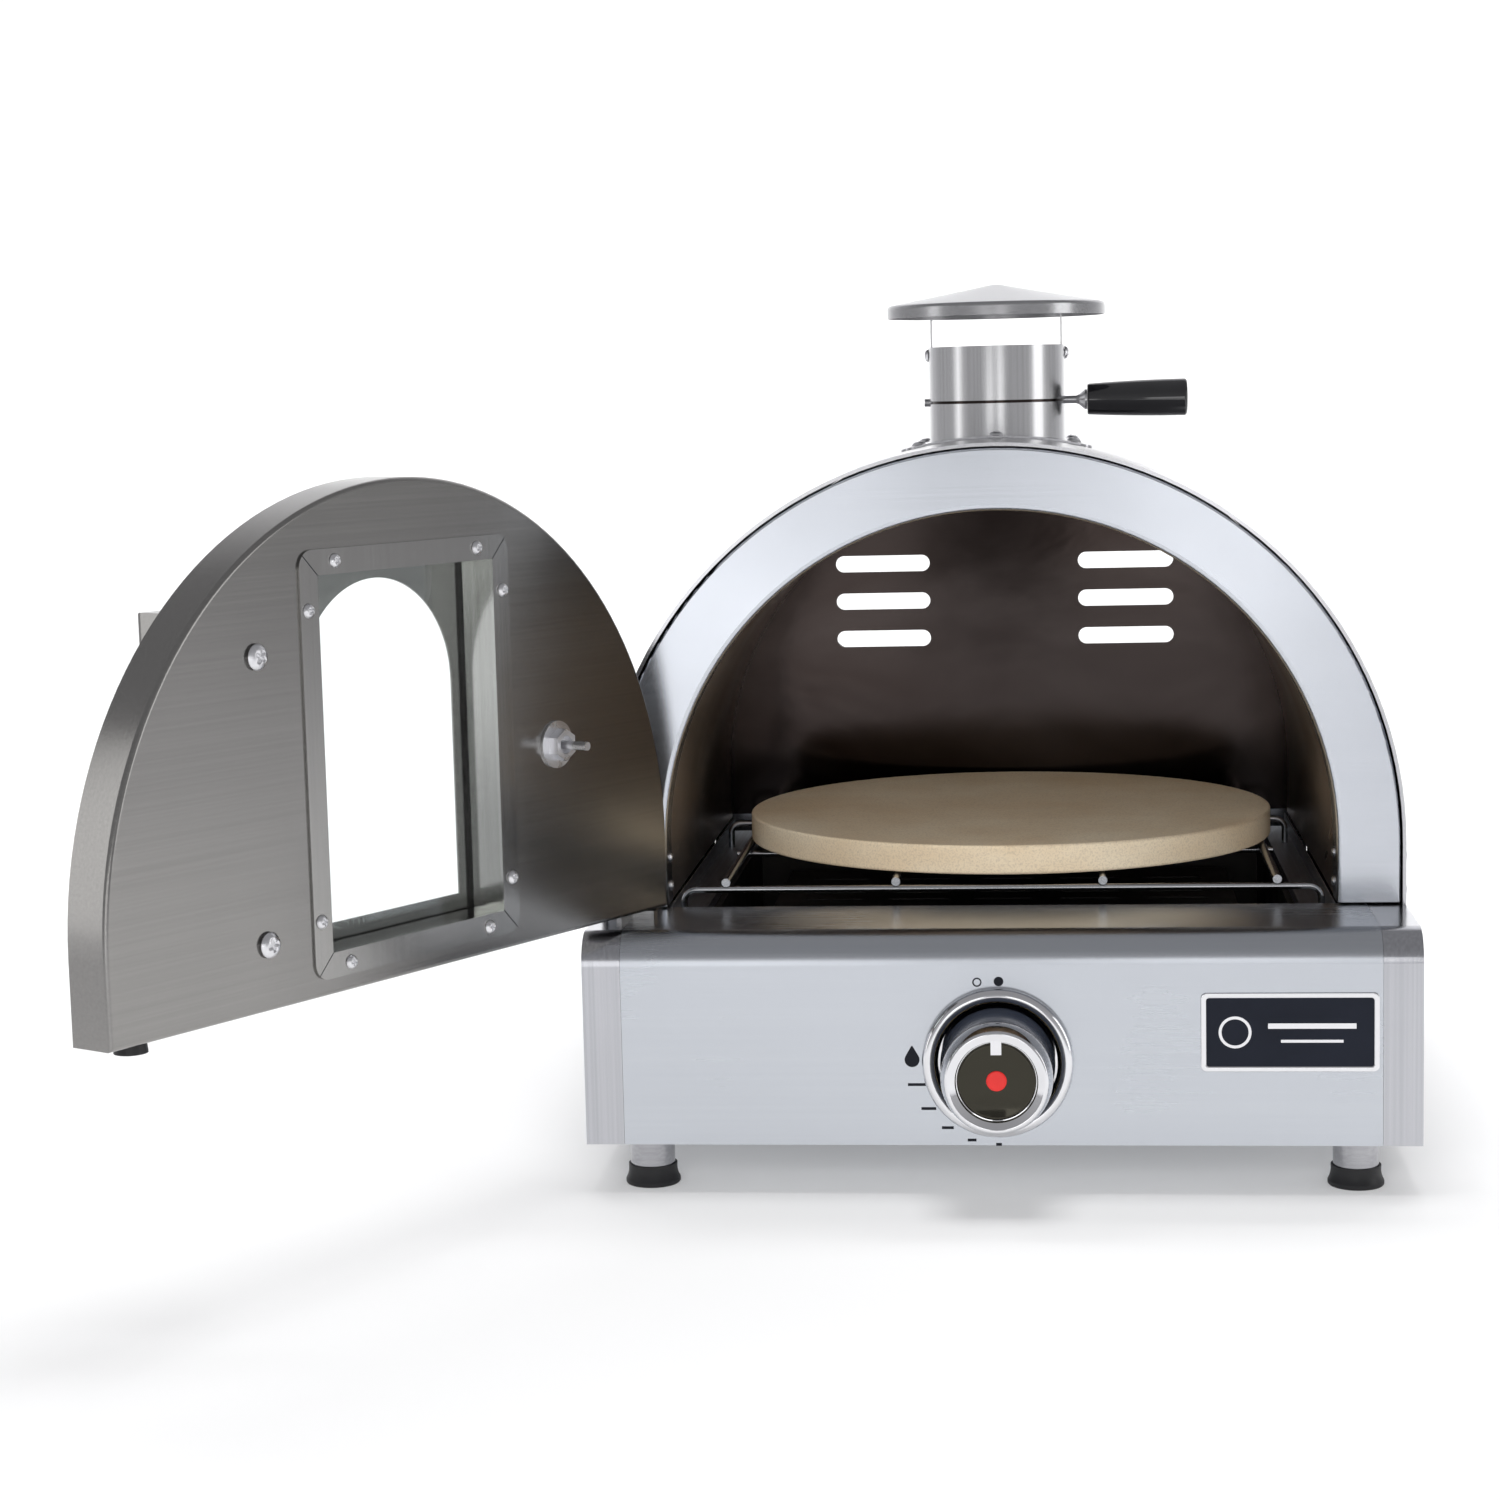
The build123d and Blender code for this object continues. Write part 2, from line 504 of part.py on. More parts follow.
with BuildPart() as cap_screws:
    screws([side_plane(side, side * (FLUE_R + 0.02), FLUE_Y, FLUE_TOP - 5) for side in (-1, 1)],
           4.2, 2.6, 2.0, 6)
save(cap_screws, "cap_screws")

# ---------------------------------------------------------------- baking chamber
with BuildPart() as cooking_rack:
    for y in (RACK_FRONT, RACK_REAR):
        foot = RAIL_Z - 6.8
        with BuildLine():
            FilletPolyline((-RACK_HALF, y, foot), (-RACK_HALF, y, CROSS_Z), (RACK_HALF, y, CROSS_Z),
                           (RACK_HALF, y, foot), radius=7)
        with BuildSketch(Plane(origin=(-RACK_HALF, y, foot))):
            Circle(CROSS_R)
        sweep()
    tube(Plane(origin=(-170, RACK_MID, CROSS_Z), z_dir=(1, 0, 0)), CROSS_R, None, 340)
    for x in (-BAR_X[1], -BAR_X[0], BAR_X[0], BAR_X[1]):
        tube(Plane(origin=(x, ARCH_FRONT + 352, BAR_Z), z_dir=(0, -1, 0)), BAR_R, None, 328)
save(cooking_rack, "cooking_rack")

with BuildPart() as pizza_stone:
    tube(Plane(origin=(STONE_X, STONE_Y, STONE_BOTTOM)), STONE_R, None, STONE_THICK)
    fillet(pizza_stone.edges(), radius=1.6)
save(pizza_stone, "pizza_stone")

with BuildPart() as heat_shield:
    with BuildSketch(facing(ARCH_FRONT + 330)):
        with BuildLine():
            Polyline((-SHIELD_HALF, SHIELD_FOOT), (-SHIELD_HALF, SHIELD_Z), (SHIELD_HALF, SHIELD_Z),
                     (SHIELD_HALF, SHIELD_FOOT), (SHIELD_HALF - SHEET, SHIELD_FOOT),
                     (SHIELD_HALF - SHEET, SHIELD_Z - SHEET), (SHEET - SHIELD_HALF, SHIELD_Z - SHEET),
                     (SHEET - SHIELD_HALF, SHIELD_FOOT), (-SHIELD_HALF, SHIELD_FOOT))
        make_face()
    extrude(amount=290)
    with BuildSketch(Plane.XY.offset(SHIELD_Z - 2)):
        with Locations((0, ARCH_FRONT + 185)):
            with GridLocations(56, 26, 5, 9):
                SlotOverall(40, 7)
    extrude(amount=4, mode=Mode.SUBTRACT)
save(heat_shield, "heat_shield")

with BuildPart() as burner:
    across = Plane(origin=(-BURNER_X - 14, BURNER_FRONT, BURNER_Z), z_dir=(1, 0, 0))
    tube(across, HEADER_R, None, 2 * (BURNER_X + 14))
    for x in (-BURNER_X, BURNER_X):
        start = Plane(origin=(x, BURNER_FRONT, BURNER_Z), z_dir=(0, 1, 0))
        tube(start, BURNER_R, None, BURNER_BACK - BURNER_FRONT)
    cut(across.offset(2 * (BURNER_X + 14) - SHEET), HEADER_R - SHEET, 2 * (BURNER_X + 13))
    for x in (-BURNER_X, BURNER_X):
        behind = Plane(origin=(x, BURNER_BACK - SHEET, BURNER_Z), z_dir=(0, 1, 0))
        cut(behind, BURNER_R - SHEET, BURNER_BACK - BURNER_FRONT - SHEET)
    with BuildSketch(Plane.XY.offset(BURNER_Z + 4)):
        with Locations((0, ARCH_FRONT + 200)):
            with GridLocations(2 * BURNER_X, 18, 2, 12):
                Rectangle(11, 2)
    extrude(amount=BURNER_R, mode=Mode.SUBTRACT)
    cut(Plane(origin=(0, BURNER_FRONT - HEADER_R - 1, BURNER_Z), z_dir=(0, -1, 0)), 8.2, 8)
save(burner, "burner")

with BuildPart() as venturi_tube:
    with BuildLine():
        FilletPolyline((0, VALVE_REAR + 9, KNOB_Z), (0, ARCH_FRONT + 20, KNOB_Z),
                       (0, ARCH_FRONT + 40, BURNER_Z), (0, BURNER_FRONT - 8, BURNER_Z), radius=6)
    with BuildSketch(Plane(origin=(0, VALVE_REAR + 9, KNOB_Z), z_dir=(0, 1, 0))):
        Circle(8)
        Circle(7, mode=Mode.SUBTRACT)
    sweep()
save(venturi_tube, "venturi_tube")

with BuildPart() as gas_valve:
    with BuildSketch(facing(VALVE_REAR)):
        with Locations((0, KNOB_Z)):
            RectangleRounded(26, 30, 4)
    extrude(amount=22)
    with BuildSketch(facing(VALVE_REAR - 22)):
        with Locations((0, KNOB_Z)):
            Circle(9)
    extrude(amount=7)
    cut(Plane(origin=(0, VALVE_REAR - 30, KNOB_Z), z_dir=(0, -1, 0)), 3.6, 14)
    tube(Plane(origin=(0, VALVE_REAR, KNOB_Z), z_dir=(0, 1, 0)), 4.5, 0.6, 11)
    tube(Plane(origin=(0, VALVE_REAR - 11, KNOB_Z - 15), z_dir=(0, 0, -1)), 6.0, 3.2, 7)
save(gas_valve, "gas_valve")

with BuildPart() as gas_feed_pipe:
    top = KNOB_Z - 15.0
    with BuildLine():
        FilletPolyline((0, VALVE_REAR - 11, top), (0, VALVE_REAR - 11, INLET_Z),
                       (INLET_X, VALVE_REAR - 11, INLET_Z), (INLET_X, REAR - 8, INLET_Z), radius=9)
    with BuildSketch(Plane(origin=(0, VALVE_REAR - 11, top), z_dir=(0, 0, -1))):
        Circle(PIPE_R)
        Circle(PIPE_BORE, mode=Mode.SUBTRACT)
    sweep()
save(gas_feed_pipe, "gas_feed_pipe")

with BuildPart() as gas_inlet:
    behind = Plane(origin=(INLET_X, REAR - 18, INLET_Z), z_dir=(0, 1, 0))
    with BuildSketch(behind):
        RegularPolygon(11, 6)
    extrude(amount=10)
    tube(behind.offset(10), INLET_R - 0.9, None, 8.5)
    tube(behind.offset(18.5), INLET_R, None, INLET_LENGTH)
    cut(behind.offset(20 + INLET_LENGTH), 4.0, 40)
save(gas_inlet, "gas_inlet")

with BuildPart() as igniter_electrode:
    tube(Plane(origin=(IGNITER_X, BURNER_FRONT + 18, 70)), IGNITER_R, None, 26)
    tube(Plane(origin=(IGNITER_X, BURNER_FRONT + 18, 96)), 0.9, None, 9)
    tube(Plane(origin=(IGNITER_X, BURNER_FRONT + 18, TRAY_BOTTOM + SHEET + 0.1)), 1.5, None, 8)
save(igniter_electrode, "igniter_electrode")

# ---------------------------------------------------------------- control knob
with BuildPart() as knob_bezel:
    with BuildSketch(Plane(origin=(0, 0, KNOB_Z), x_dir=(0, 1, 0), z_dir=(1, 0, 0))):
        with BuildLine():
            near, back = FRONT - 0.1, FRONT + 9
            Polyline((near, BEZEL_R), (near - 1.6, BEZEL_R))
            ThreePointArc((near - 1.6, BEZEL_R), (near - 7.4, 38.2), (near - 3.4, RECESS_R + 1.2))
            Polyline((near - 3.4, RECESS_R + 1.2), (near - 2.6, RECESS_R), (back - 1, RECESS_R),
                     (back - 1, 9.8), (back, 9.8), (back, RECESS_R + 0.2), (near, RECESS_R + 0.2),
                     (near, BEZEL_R))
        make_face()
    revolve(axis=Axis((0, 0, KNOB_Z), (0, 1, 0)))
save(knob_bezel, "knob_bezel")

with BuildPart() as valve_plunger:
    collar = Plane(origin=(0, VALVE_REAR - 29.4 - KNOB_TRAVEL, KNOB_Z), z_dir=(0, -1, 0))
    tube(collar, 8.0, STEM_R + PIN_CLEARANCE, 2.5)
save(valve_plunger, "valve_plunger")

with BuildPart() as valve_stem:
    tube(Plane(origin=(0, VALVE_REAR - 20 - KNOB_TRAVEL, KNOB_Z), z_dir=(0, -1, 0)), STEM_R, None,
         VALVE_REAR - 20 - KNOB_TRAVEL - SKIRT_END)
save(valve_stem, "valve_stem")

with BuildPart() as knob_skirt:
    with BuildSketch(Plane(origin=(0, 0, KNOB_Z), x_dir=(0, 1, 0), z_dir=(1, 0, 0))):
        with BuildLine():
            Polyline((KNOB_BACK, 31.9), (SKIRT_END + 0.1, 29.6), (SKIRT_END + 0.1, STEM_R),
                     (KNOB_BACK + 2, STEM_R), (KNOB_BACK + 2, 8), (KNOB_BACK - 20, 8), (KNOB_BACK - 20, 27.5),
                     (KNOB_BACK, 29.8), (KNOB_BACK, 31.9))
        make_face()
    revolve(axis=Axis((0, 0, KNOB_Z), (0, 1, 0)))
save(knob_skirt, "knob_skirt")

with BuildPart() as knob_cap:
    with BuildSketch(Plane(origin=(0, 0, KNOB_Z), x_dir=(0, 1, 0), z_dir=(1, 0, 0))):
        with BuildLine():
            Polyline((SKIRT_END, 0), (SKIRT_END, 29.9), (SKIRT_END - 0.8, 30.6))
            ThreePointArc((SKIRT_END - 0.8, 30.6), (KNOB_FACE + 6, 30.0), (KNOB_FACE + 1.2, 28.4))
            ThreePointArc((KNOB_FACE + 1.2, 28.4), (KNOB_FACE, 27.0), (KNOB_FACE + 0.3, 25.6))
            Polyline((KNOB_FACE + 0.3, 25.6), (KNOB_FACE + 1.6, 22.6), (KNOB_FACE + 3.4, 22.0),
                     (KNOB_FACE + 4.8, 16), (KNOB_FACE + 4.8, 0), (SKIRT_END, 0))
        make_face()
    revolve(axis=Axis((0, 0, KNOB_Z), (0, 1, 0)))
    with BuildSketch(facing(KNOB_FACE + 1.4)):
        with Locations((0, KNOB_Z + 19.7)):
            Rectangle(5.8, 9.2)
    extrude(amount=-6)
save(knob_cap, "knob_cap")

with BuildPart() as nameplate:
    with BuildSketch(facing(FRONT - 0.05)):
        with Locations((PLATE_X, PLATE_Z)):
            RectangleRounded(PLATE_WIDE, PLATE_HIGH, 3)
    extrude(amount=0.8)
    fillet(nameplate.faces().sort_by(Axis.Y)[0].edges(), radius=0.4)
save(nameplate, "nameplate")

# ---------------------------------------------------------------- door hinge on the ledge
BRACKET_TOP = DOOR_BOTTOM - 1.2
with BuildPart() as hinge_bracket:
    with BuildSketch(Plane(origin=(PIVOT_X, PIVOT_Y, LEDGE + 0.05))):
        with BuildLine():
            Polyline((-12, 0), (-8, -8), (-1, -9.7), (11.2, -9.7), (13, -7), (13, 14), (-6, 14), (-12, 8),
                     (-12, 0))
        make_face()
        Circle(PIN_R, mode=Mode.SUBTRACT)
        with Locations((3, 8)):
            Circle(2.1, mode=Mode.SUBTRACT)
    extrude(amount=BRACKET_TOP - LEDGE)
    chamfer(hinge_bracket.faces().sort_by(Axis.Z)[-1].outer_wire().edges(), length=0.8)
save(hinge_bracket, "hinge_bracket")

PIN_TOP = DOOR_BOTTOM + 50
with BuildPart() as hinge_pin:
    tube(Plane(origin=(PIVOT_X, PIVOT_Y, LEDGE + 0.05)), PIN_R, None, PIN_TOP - LEDGE)
    tube(Plane(origin=(PIVOT_X, PIVOT_Y, BRACKET_TOP + 0.1)), PIN_R + 2.4, None, 0.8)
save(hinge_pin, "hinge_pin")


# ---------------------------------------------------------------- door
def swung(x, y, degrees=DOOR_OPEN):
    """A point of the closed door in plan, swung open about the hinge pin."""
    turn = radians(-degrees)
    dx, dy = x - PIVOT_X, y - PIVOT_Y
    return PIVOT_X + dx * cos(turn) - dy * sin(turn), PIVOT_Y + dx * sin(turn) + dy * cos(turn)


def door_plane(depth, x=0.0, y=0.0):
    """Plane of the open door at a depth behind its inner face: local x runs from the hinge side, y is up."""
    px, py = swung(x, ARCH_FRONT - DOOR_GAP - depth)
    turn = radians(-DOOR_OPEN)
    across, outward = (cos(turn), sin(turn), 0), (sin(turn), -cos(turn), 0)
    return Plane(origin=(px, py, DOOR_BOTTOM + y), x_dir=across, z_dir=outward)


def inner_plane(proud, x, y):
    """Plane in front of the open door's inner face, facing away from the door."""
    face = door_plane(-proud, x, y)
    return Plane(origin=face.origin, x_dir=-face.x_dir, z_dir=-face.z_dir)


def door_shape(inset, mode=Mode.ADD):
    arch(DOOR_HALF - inset, inset, mode, centre=DOOR_LEG)


WINDOW_MID = (WINDOW_LOW + WINDOW_HIGH) / 2
WINDOW_SCREWS = [(s * x, y) for s in (-1, 1) for x, y in ((54, 14.9), (74, 38.5), (74, 193.5), (54, 217.1))]
HANDLE_SPOTS = [(HANDLE_X, HANDLE_LOW), (HANDLE_X, HANDLE_HIGH)]
PIN_LOCAL = (PIVOT_X, ARCH_FRONT - DOOR_GAP - PIVOT_Y)


def hinge_plane(z):
    return Plane(origin=(PIVOT_X, PIVOT_Y, z))


with BuildPart() as door_inner_pan:
    with BuildSketch(door_plane(0)):
        door_shape(0)
    extrude(amount=DOOR_DEPTH)
    inner_face = door_inner_pan.faces().sort_by(Axis(door_plane(0).origin, door_plane(0).z_dir))[0]
    fillet(inner_face.edges(), radius=2.4)
    outer_face = door_inner_pan.faces().sort_by(Axis(door_plane(0).origin, door_plane(0).z_dir))[-1]
    offset(amount=-SHEET, openings=outer_face)
    with BuildSketch(door_plane(-1)):
        with Locations((0, WINDOW_MID)):
            Rectangle(2 * WINDOW_HALF + 2.4, WINDOW_HIGH - WINDOW_LOW + 2.4)
        with Locations(*WINDOW_SCREWS):
            Circle(1.7)
        with Locations(*HANDLE_SPOTS):
            Circle(2.7)
        with Locations((THERMO_X, THERMO_Y)):
            Circle(5.3)
    extrude(amount=4, mode=Mode.SUBTRACT)
    cut(hinge_plane(DOOR_BOTTOM + 2), PIN_R + 0.5, 4)
save(door_inner_pan, "door_inner_pan")

with BuildPart() as door_outer_panel:
    with BuildSketch(door_plane(DOOR_DEPTH - SHEET)):
        door_shape(SHEET + 0.2)
        arch(PANE_HALF, PANE_LOW, Mode.SUBTRACT, centre=PANE_ARCH)
        with Locations(*HANDLE_SPOTS):
            Circle(2.7, mode=Mode.SUBTRACT)
        with Locations((THERMO_X, THERMO_Y)):
            Circle(5.3, mode=Mode.SUBTRACT)
    extrude(amount=SHEET)
save(door_outer_panel, "door_outer_panel")

with BuildPart() as window_frame:
    with BuildSketch(door_plane(-1.2)):
        with Locations((0, WINDOW_MID)):
            RectangleRounded(2 * (WINDOW_HALF + FRAME_LAP), WINDOW_HIGH - WINDOW_LOW + 2 * FRAME_LAP, 9)
            Rectangle(2 * WINDOW_HALF, WINDOW_HIGH - WINDOW_LOW, mode=Mode.SUBTRACT)
        with Locations(*WINDOW_SCREWS):
            Circle(1.7, mode=Mode.SUBTRACT)
    extrude(amount=1.1)
    with BuildSketch(door_plane(-1.2)):
        with Locations((0, WINDOW_MID)):
            Rectangle(2 * WINDOW_HALF + 2, WINDOW_HIGH - WINDOW_LOW + 2)
            Rectangle(2 * WINDOW_HALF, WINDOW_HIGH - WINDOW_LOW, mode=Mode.SUBTRACT)
    extrude(amount=GLASS_DEPTH + 1.0)
save(window_frame, "window_frame")

with BuildPart() as window_glass:
    with BuildSketch(door_plane(GLASS_DEPTH)):
        with Locations((0, WINDOW_MID)):
            RectangleRounded(2 * WINDOW_HALF + 10, WINDOW_HIGH - WINDOW_LOW + 8, 3)
    extrude(amount=GLASS)
save(window_glass, "window_glass")

with BuildPart() as window_screws:
    screws([inner_plane(1.25, x, y) for x, y in WINDOW_SCREWS], 3.7, 2.5, 1.6, 8)
save(window_screws, "window_screws")

with BuildPart() as handle_screws:
    spots = [inner_plane(1.2, x, y) for x, y in HANDLE_SPOTS]
    screws(spots, 4.6, 3.0, 2.5, 42)
    for plane in spots:
        tube(plane.offset(-1.15), 6.6, None, 1.1)
save(handle_screws, "handle_screws")

with BuildPart() as door_handle:
    with BuildSketch(door_plane(GRIP_NEAR)):
        with Locations((HANDLE_X, (GRIP_LOW + GRIP_HIGH) / 2)):
            Rectangle(2 * GRIP_HALF, GRIP_HIGH - GRIP_LOW)
    extrude(amount=GRIP_FAR - GRIP_NEAR)
    far = door_handle.faces().sort_by(Axis(door_plane(0).origin, door_plane(0).z_dir))[-1]
    fillet(far.edges(), radius=4.5)
    for x, y in HANDLE_SPOTS:
        tube(door_plane(DOOR_DEPTH + 0.05, x, y), 7.0, None, GRIP_NEAR - DOOR_DEPTH)
    for x, y in HANDLE_SPOTS:
        cut(door_plane(44, x, y), 2.6, 20)
save(door_handle, "door_handle")

with BuildPart() as door_foot:
    with BuildSketch(Plane(origin=door_plane(DOOR_DEPTH / 2, DOOR_FOOT_X, -0.1).origin, z_dir=(0, 0, -1))):
        Circle(DOOR_FOOT_R)
    extrude(amount=5.5, taper=-6)
save(door_foot, "door_foot")

with BuildPart() as hinge_guide:
    ear_low, ear_high = DOOR_BOTTOM + SHEET + 0.3, DOOR_BOTTOM + 44.0
    for height in (ear_low, ear_high):
        with BuildSketch(hinge_plane(height)):
            Circle(4.1)
        extrude(amount=4)
    with BuildSketch(door_plane(PIN_LOCAL[1] - 4, PIVOT_X)):
        with Locations((14, (ear_low + ear_high + 4) / 2 - DOOR_BOTTOM)):
            Rectangle(22, ear_high + 4 - ear_low)
    extrude(amount=-2)
    for height in (ear_low, ear_high):
        with BuildSketch(door_plane(PIN_LOCAL[1] - 6, PIVOT_X)):
            with Locations((12.5, height + 2 - DOOR_BOTTOM)):
                Rectangle(25, 4)
        extrude(amount=7)
    for height in (ear_low, ear_high):
        cut(hinge_plane(height + 4.5), PIN_R + PIN_CLEARANCE, 5)
save(hinge_guide, "hinge_guide")

# ---------------------------------------------------------------- thermometer
with BuildPart() as thermometer_case:
    tube(door_plane(CASE_BACK, THERMO_X, THERMO_Y), DIAL_R, 3.6, 1.2)
    tube(door_plane(CASE_BACK, THERMO_X, THERMO_Y), DIAL_R, DIAL_R - 1.2, CASE_DEPTH)
    tube(door_plane(CASE_BACK + 4.5, THERMO_X, THERMO_Y), DIAL_R - 1.1, 3.0, 0.8)
save(thermometer_case, "thermometer_case")

with BuildPart() as thermometer_lens:
    tube(door_plane(CASE_BACK + 8.4, THERMO_X, THERMO_Y), DIAL_R - 1.4, None, 1.6)
save(thermometer_lens, "thermometer_lens")

with BuildPart() as thermometer_pointer:
    dial = door_plane(CASE_BACK + 6.2, THERMO_X, THERMO_Y)
    along = dial.x_dir * cos(radians(POINTER_REST)) + dial.y_dir * sin(radians(POINTER_REST))
    with BuildSketch(Plane(origin=dial.origin, x_dir=along, z_dir=dial.z_dir)):
        Circle(2.6)
        with BuildLine():
            Polyline((0, 1.5), (-19, 0.4), (-19, -0.4), (0, -1.5), (7, -1.2), (7, 1.2), (0, 1.5))
        make_face()
    extrude(amount=0.8)
save(thermometer_pointer, "thermometer_pointer")

with BuildPart() as thermometer_probe:
    tube(door_plane(-22, THERMO_X, THERMO_Y), 2.4, None, 22 + CASE_BACK + 5.7)
    tube(door_plane(-3, THERMO_X, THERMO_Y), 5.0, None, CASE_BACK + 2.8)
save(thermometer_probe, "thermometer_probe")

with BuildPart() as thermometer_nut:
    with BuildSketch(door_plane(-7.2, THERMO_X, THERMO_Y)):
        RegularPolygon(8.9, 6, rotation=30)
        Circle(5.1, mode=Mode.SUBTRACT)
    extrude(amount=6)
    tube(door_plane(-1.3, THERMO_X, THERMO_Y), 13, 5.1, 1.2)
save(thermometer_nut, "thermometer_nut")
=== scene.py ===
"""Looks of the countertop pizza oven: its materials, printed marks, screw heads, plate, knob and dial."""
import json
from math import atan2, cos, pi, radians, sin

import bmesh
import bpy
from mathutils import Matrix, Vector


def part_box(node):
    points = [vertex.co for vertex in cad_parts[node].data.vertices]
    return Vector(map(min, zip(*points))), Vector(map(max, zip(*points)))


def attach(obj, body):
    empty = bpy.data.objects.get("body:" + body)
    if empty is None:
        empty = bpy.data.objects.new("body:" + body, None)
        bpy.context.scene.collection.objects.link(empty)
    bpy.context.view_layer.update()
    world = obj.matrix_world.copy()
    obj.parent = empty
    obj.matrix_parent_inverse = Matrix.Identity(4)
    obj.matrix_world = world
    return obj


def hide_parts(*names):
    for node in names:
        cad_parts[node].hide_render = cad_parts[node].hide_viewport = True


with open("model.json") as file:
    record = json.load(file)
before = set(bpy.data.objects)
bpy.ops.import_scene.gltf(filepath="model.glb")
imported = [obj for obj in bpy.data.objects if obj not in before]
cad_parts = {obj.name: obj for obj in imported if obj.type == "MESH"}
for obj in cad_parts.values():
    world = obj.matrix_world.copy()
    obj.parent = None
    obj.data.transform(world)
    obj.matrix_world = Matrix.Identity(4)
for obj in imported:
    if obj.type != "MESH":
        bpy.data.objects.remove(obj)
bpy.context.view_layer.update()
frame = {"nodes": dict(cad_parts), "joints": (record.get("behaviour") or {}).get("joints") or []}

MM = 0.001
NODES = frame["nodes"]
JOINTS = {joint["name"]: joint for joint in frame["joints"]}
DOOR_NORMAL = Vector(JOINTS["needle_turn"]["axis"])      # outward, away from the baking chamber
DOOR_TURN = atan2(DOOR_NORMAL.y, DOOR_NORMAL.x)


# ---------------------------------------------------------------- material helpers
def shader(name, colour, roughness, metallic=0.0):
    """A new material with its Principled shader set, as (material, node tree, shader node)."""
    made = bpy.data.materials.new(name)
    made.use_nodes = True
    tree = made.node_tree
    bsdf = tree.nodes["Principled BSDF"]
    bsdf.inputs["Base Color"].default_value = (*colour, 1)
    bsdf.inputs["Roughness"].default_value = roughness
    bsdf.inputs["Metallic"].default_value = metallic
    return made, tree, bsdf


def noise(tree, scale, detail=4.0, turn=0.0, offset=(0, 0, 0), distort=0.0):
    """Noise over the row frame, stretched by scale, which is in waves per metre along each axis."""
    place = tree.nodes.new("ShaderNodeTexCoord")
    spin = tree.nodes.new("ShaderNodeMapping")
    spin.inputs["Rotation"].default_value = (0, 0, -turn)
    tree.links.new(place.outputs["Object"], spin.inputs["Vector"])
    stretch = tree.nodes.new("ShaderNodeMapping")
    stretch.inputs["Scale"].default_value = scale
    stretch.inputs["Location"].default_value = offset
    tree.links.new(spin.outputs["Vector"], stretch.inputs["Vector"])
    made = tree.nodes.new("ShaderNodeTexNoise")
    made.inputs["Scale"].default_value = 1.0
    made.inputs["Detail"].default_value = detail
    made.inputs["Distortion"].default_value = distort
    tree.links.new(stretch.outputs["Vector"], made.inputs["Vector"])
    return made.outputs["Fac"]


def ranged(tree, value, low, high, start=0.3, end=0.7):
    """The value from start to end, spread over low to high."""
    node = tree.nodes.new("ShaderNodeMapRange")
    node.inputs["From Min"].default_value = start
    node.inputs["From Max"].default_value = end
    node.inputs["To Min"].default_value = low
    node.inputs["To Max"].default_value = high
    tree.links.new(value, node.inputs["Value"])
    return node.outputs["Result"]


def arithmetic(tree, operation, *values):
    """One Math node over sockets and numbers."""
    node = tree.nodes.new("ShaderNodeMath")
    node.operation = operation
    for socket, value in zip(node.inputs, values):
        if isinstance(value, float):
            socket.default_value = value
        else:
            tree.links.new(value, socket)
    return node.outputs[0]


MIX_FIRST, MIX_SECOND = 6, 7      # a Mix node's two colour sockets


def mixed(tree, share, first, second):
    """Two colours mixed by share; each may be a colour or another node's output."""
    node = tree.nodes.new("ShaderNodeMix")
    node.data_type = "RGBA"
    tree.links.new(share, node.inputs["Factor"])
    for socket, colour in ((node.inputs[MIX_FIRST], first), (node.inputs[MIX_SECOND], second)):
        if isinstance(colour, tuple):
            socket.default_value = (*colour, 1)
        else:
            tree.links.new(colour, socket)
    return node.outputs[2]


def bump(tree, bsdf, height, strength, distance):
    node = tree.nodes.new("ShaderNodeBump")
    node.inputs["Strength"].default_value = strength
    node.inputs["Distance"].default_value = distance
    tree.links.new(height, node.inputs["Height"])
    if bsdf.inputs["Normal"].is_linked:
        tree.links.new(bsdf.inputs["Normal"].links[0].from_socket, node.inputs["Normal"])
    tree.links.new(node.outputs["Normal"], bsdf.inputs["Normal"])


def steel(name, light, dark, roughness, along="x", turn=0.0, grain=1.0, smear=0.03):
    """Brushed stainless sheet: hair-fine scratches along one axis, faint bands and cloudy smears."""
    made, tree, bsdf = shader(name, light, roughness, metallic=1.0)
    hair = {"x": (30.0, 5200.0, 5200.0), "y": (5200.0, 30.0, 5200.0), "z": (5200.0, 5200.0, 30.0)}[along]
    band = {"x": (3.0, 620.0, 620.0), "y": (620.0, 3.0, 620.0), "z": (620.0, 620.0, 3.0)}[along]
    scratches = noise(tree, hair, 2.0, turn)
    bands = noise(tree, band, 5.0, turn, (3.1, 1.7, 0.4))
    clouds = noise(tree, (7.0, 7.0, 7.0), 3.0, turn, (5.0, 2.0, 8.0))
    shade = mixed(tree, ranged(tree, bands, 0.0, 1.0), dark, light)
    tree.links.new(shade, bsdf.inputs["Base Color"])
    blur = ranged(tree, clouds, roughness - smear, roughness + smear)
    streak = ranged(tree, bands, -0.01, 0.01)
    tree.links.new(arithmetic(tree, "ADD", blur, streak), bsdf.inputs["Roughness"])
    bump(tree, bsdf, scratches, 0.06 * grain, 0.00005)
    bump(tree, bsdf, clouds, 0.04 * grain, 0.002)
    return made


def polished(name, colour, roughness=0.05):
    """Polished plating with faint wiping marks."""
    made, tree, bsdf = shader(name, colour, roughness, metallic=1.0)
    marks = noise(tree, (60.0, 60.0, 60.0), 4.0)
    tree.links.new(ranged(tree, marks, roughness * 0.7, roughness * 1.8), bsdf.inputs["Roughness"])
    bump(tree, bsdf, marks, 0.03, 0.0003)
    return made


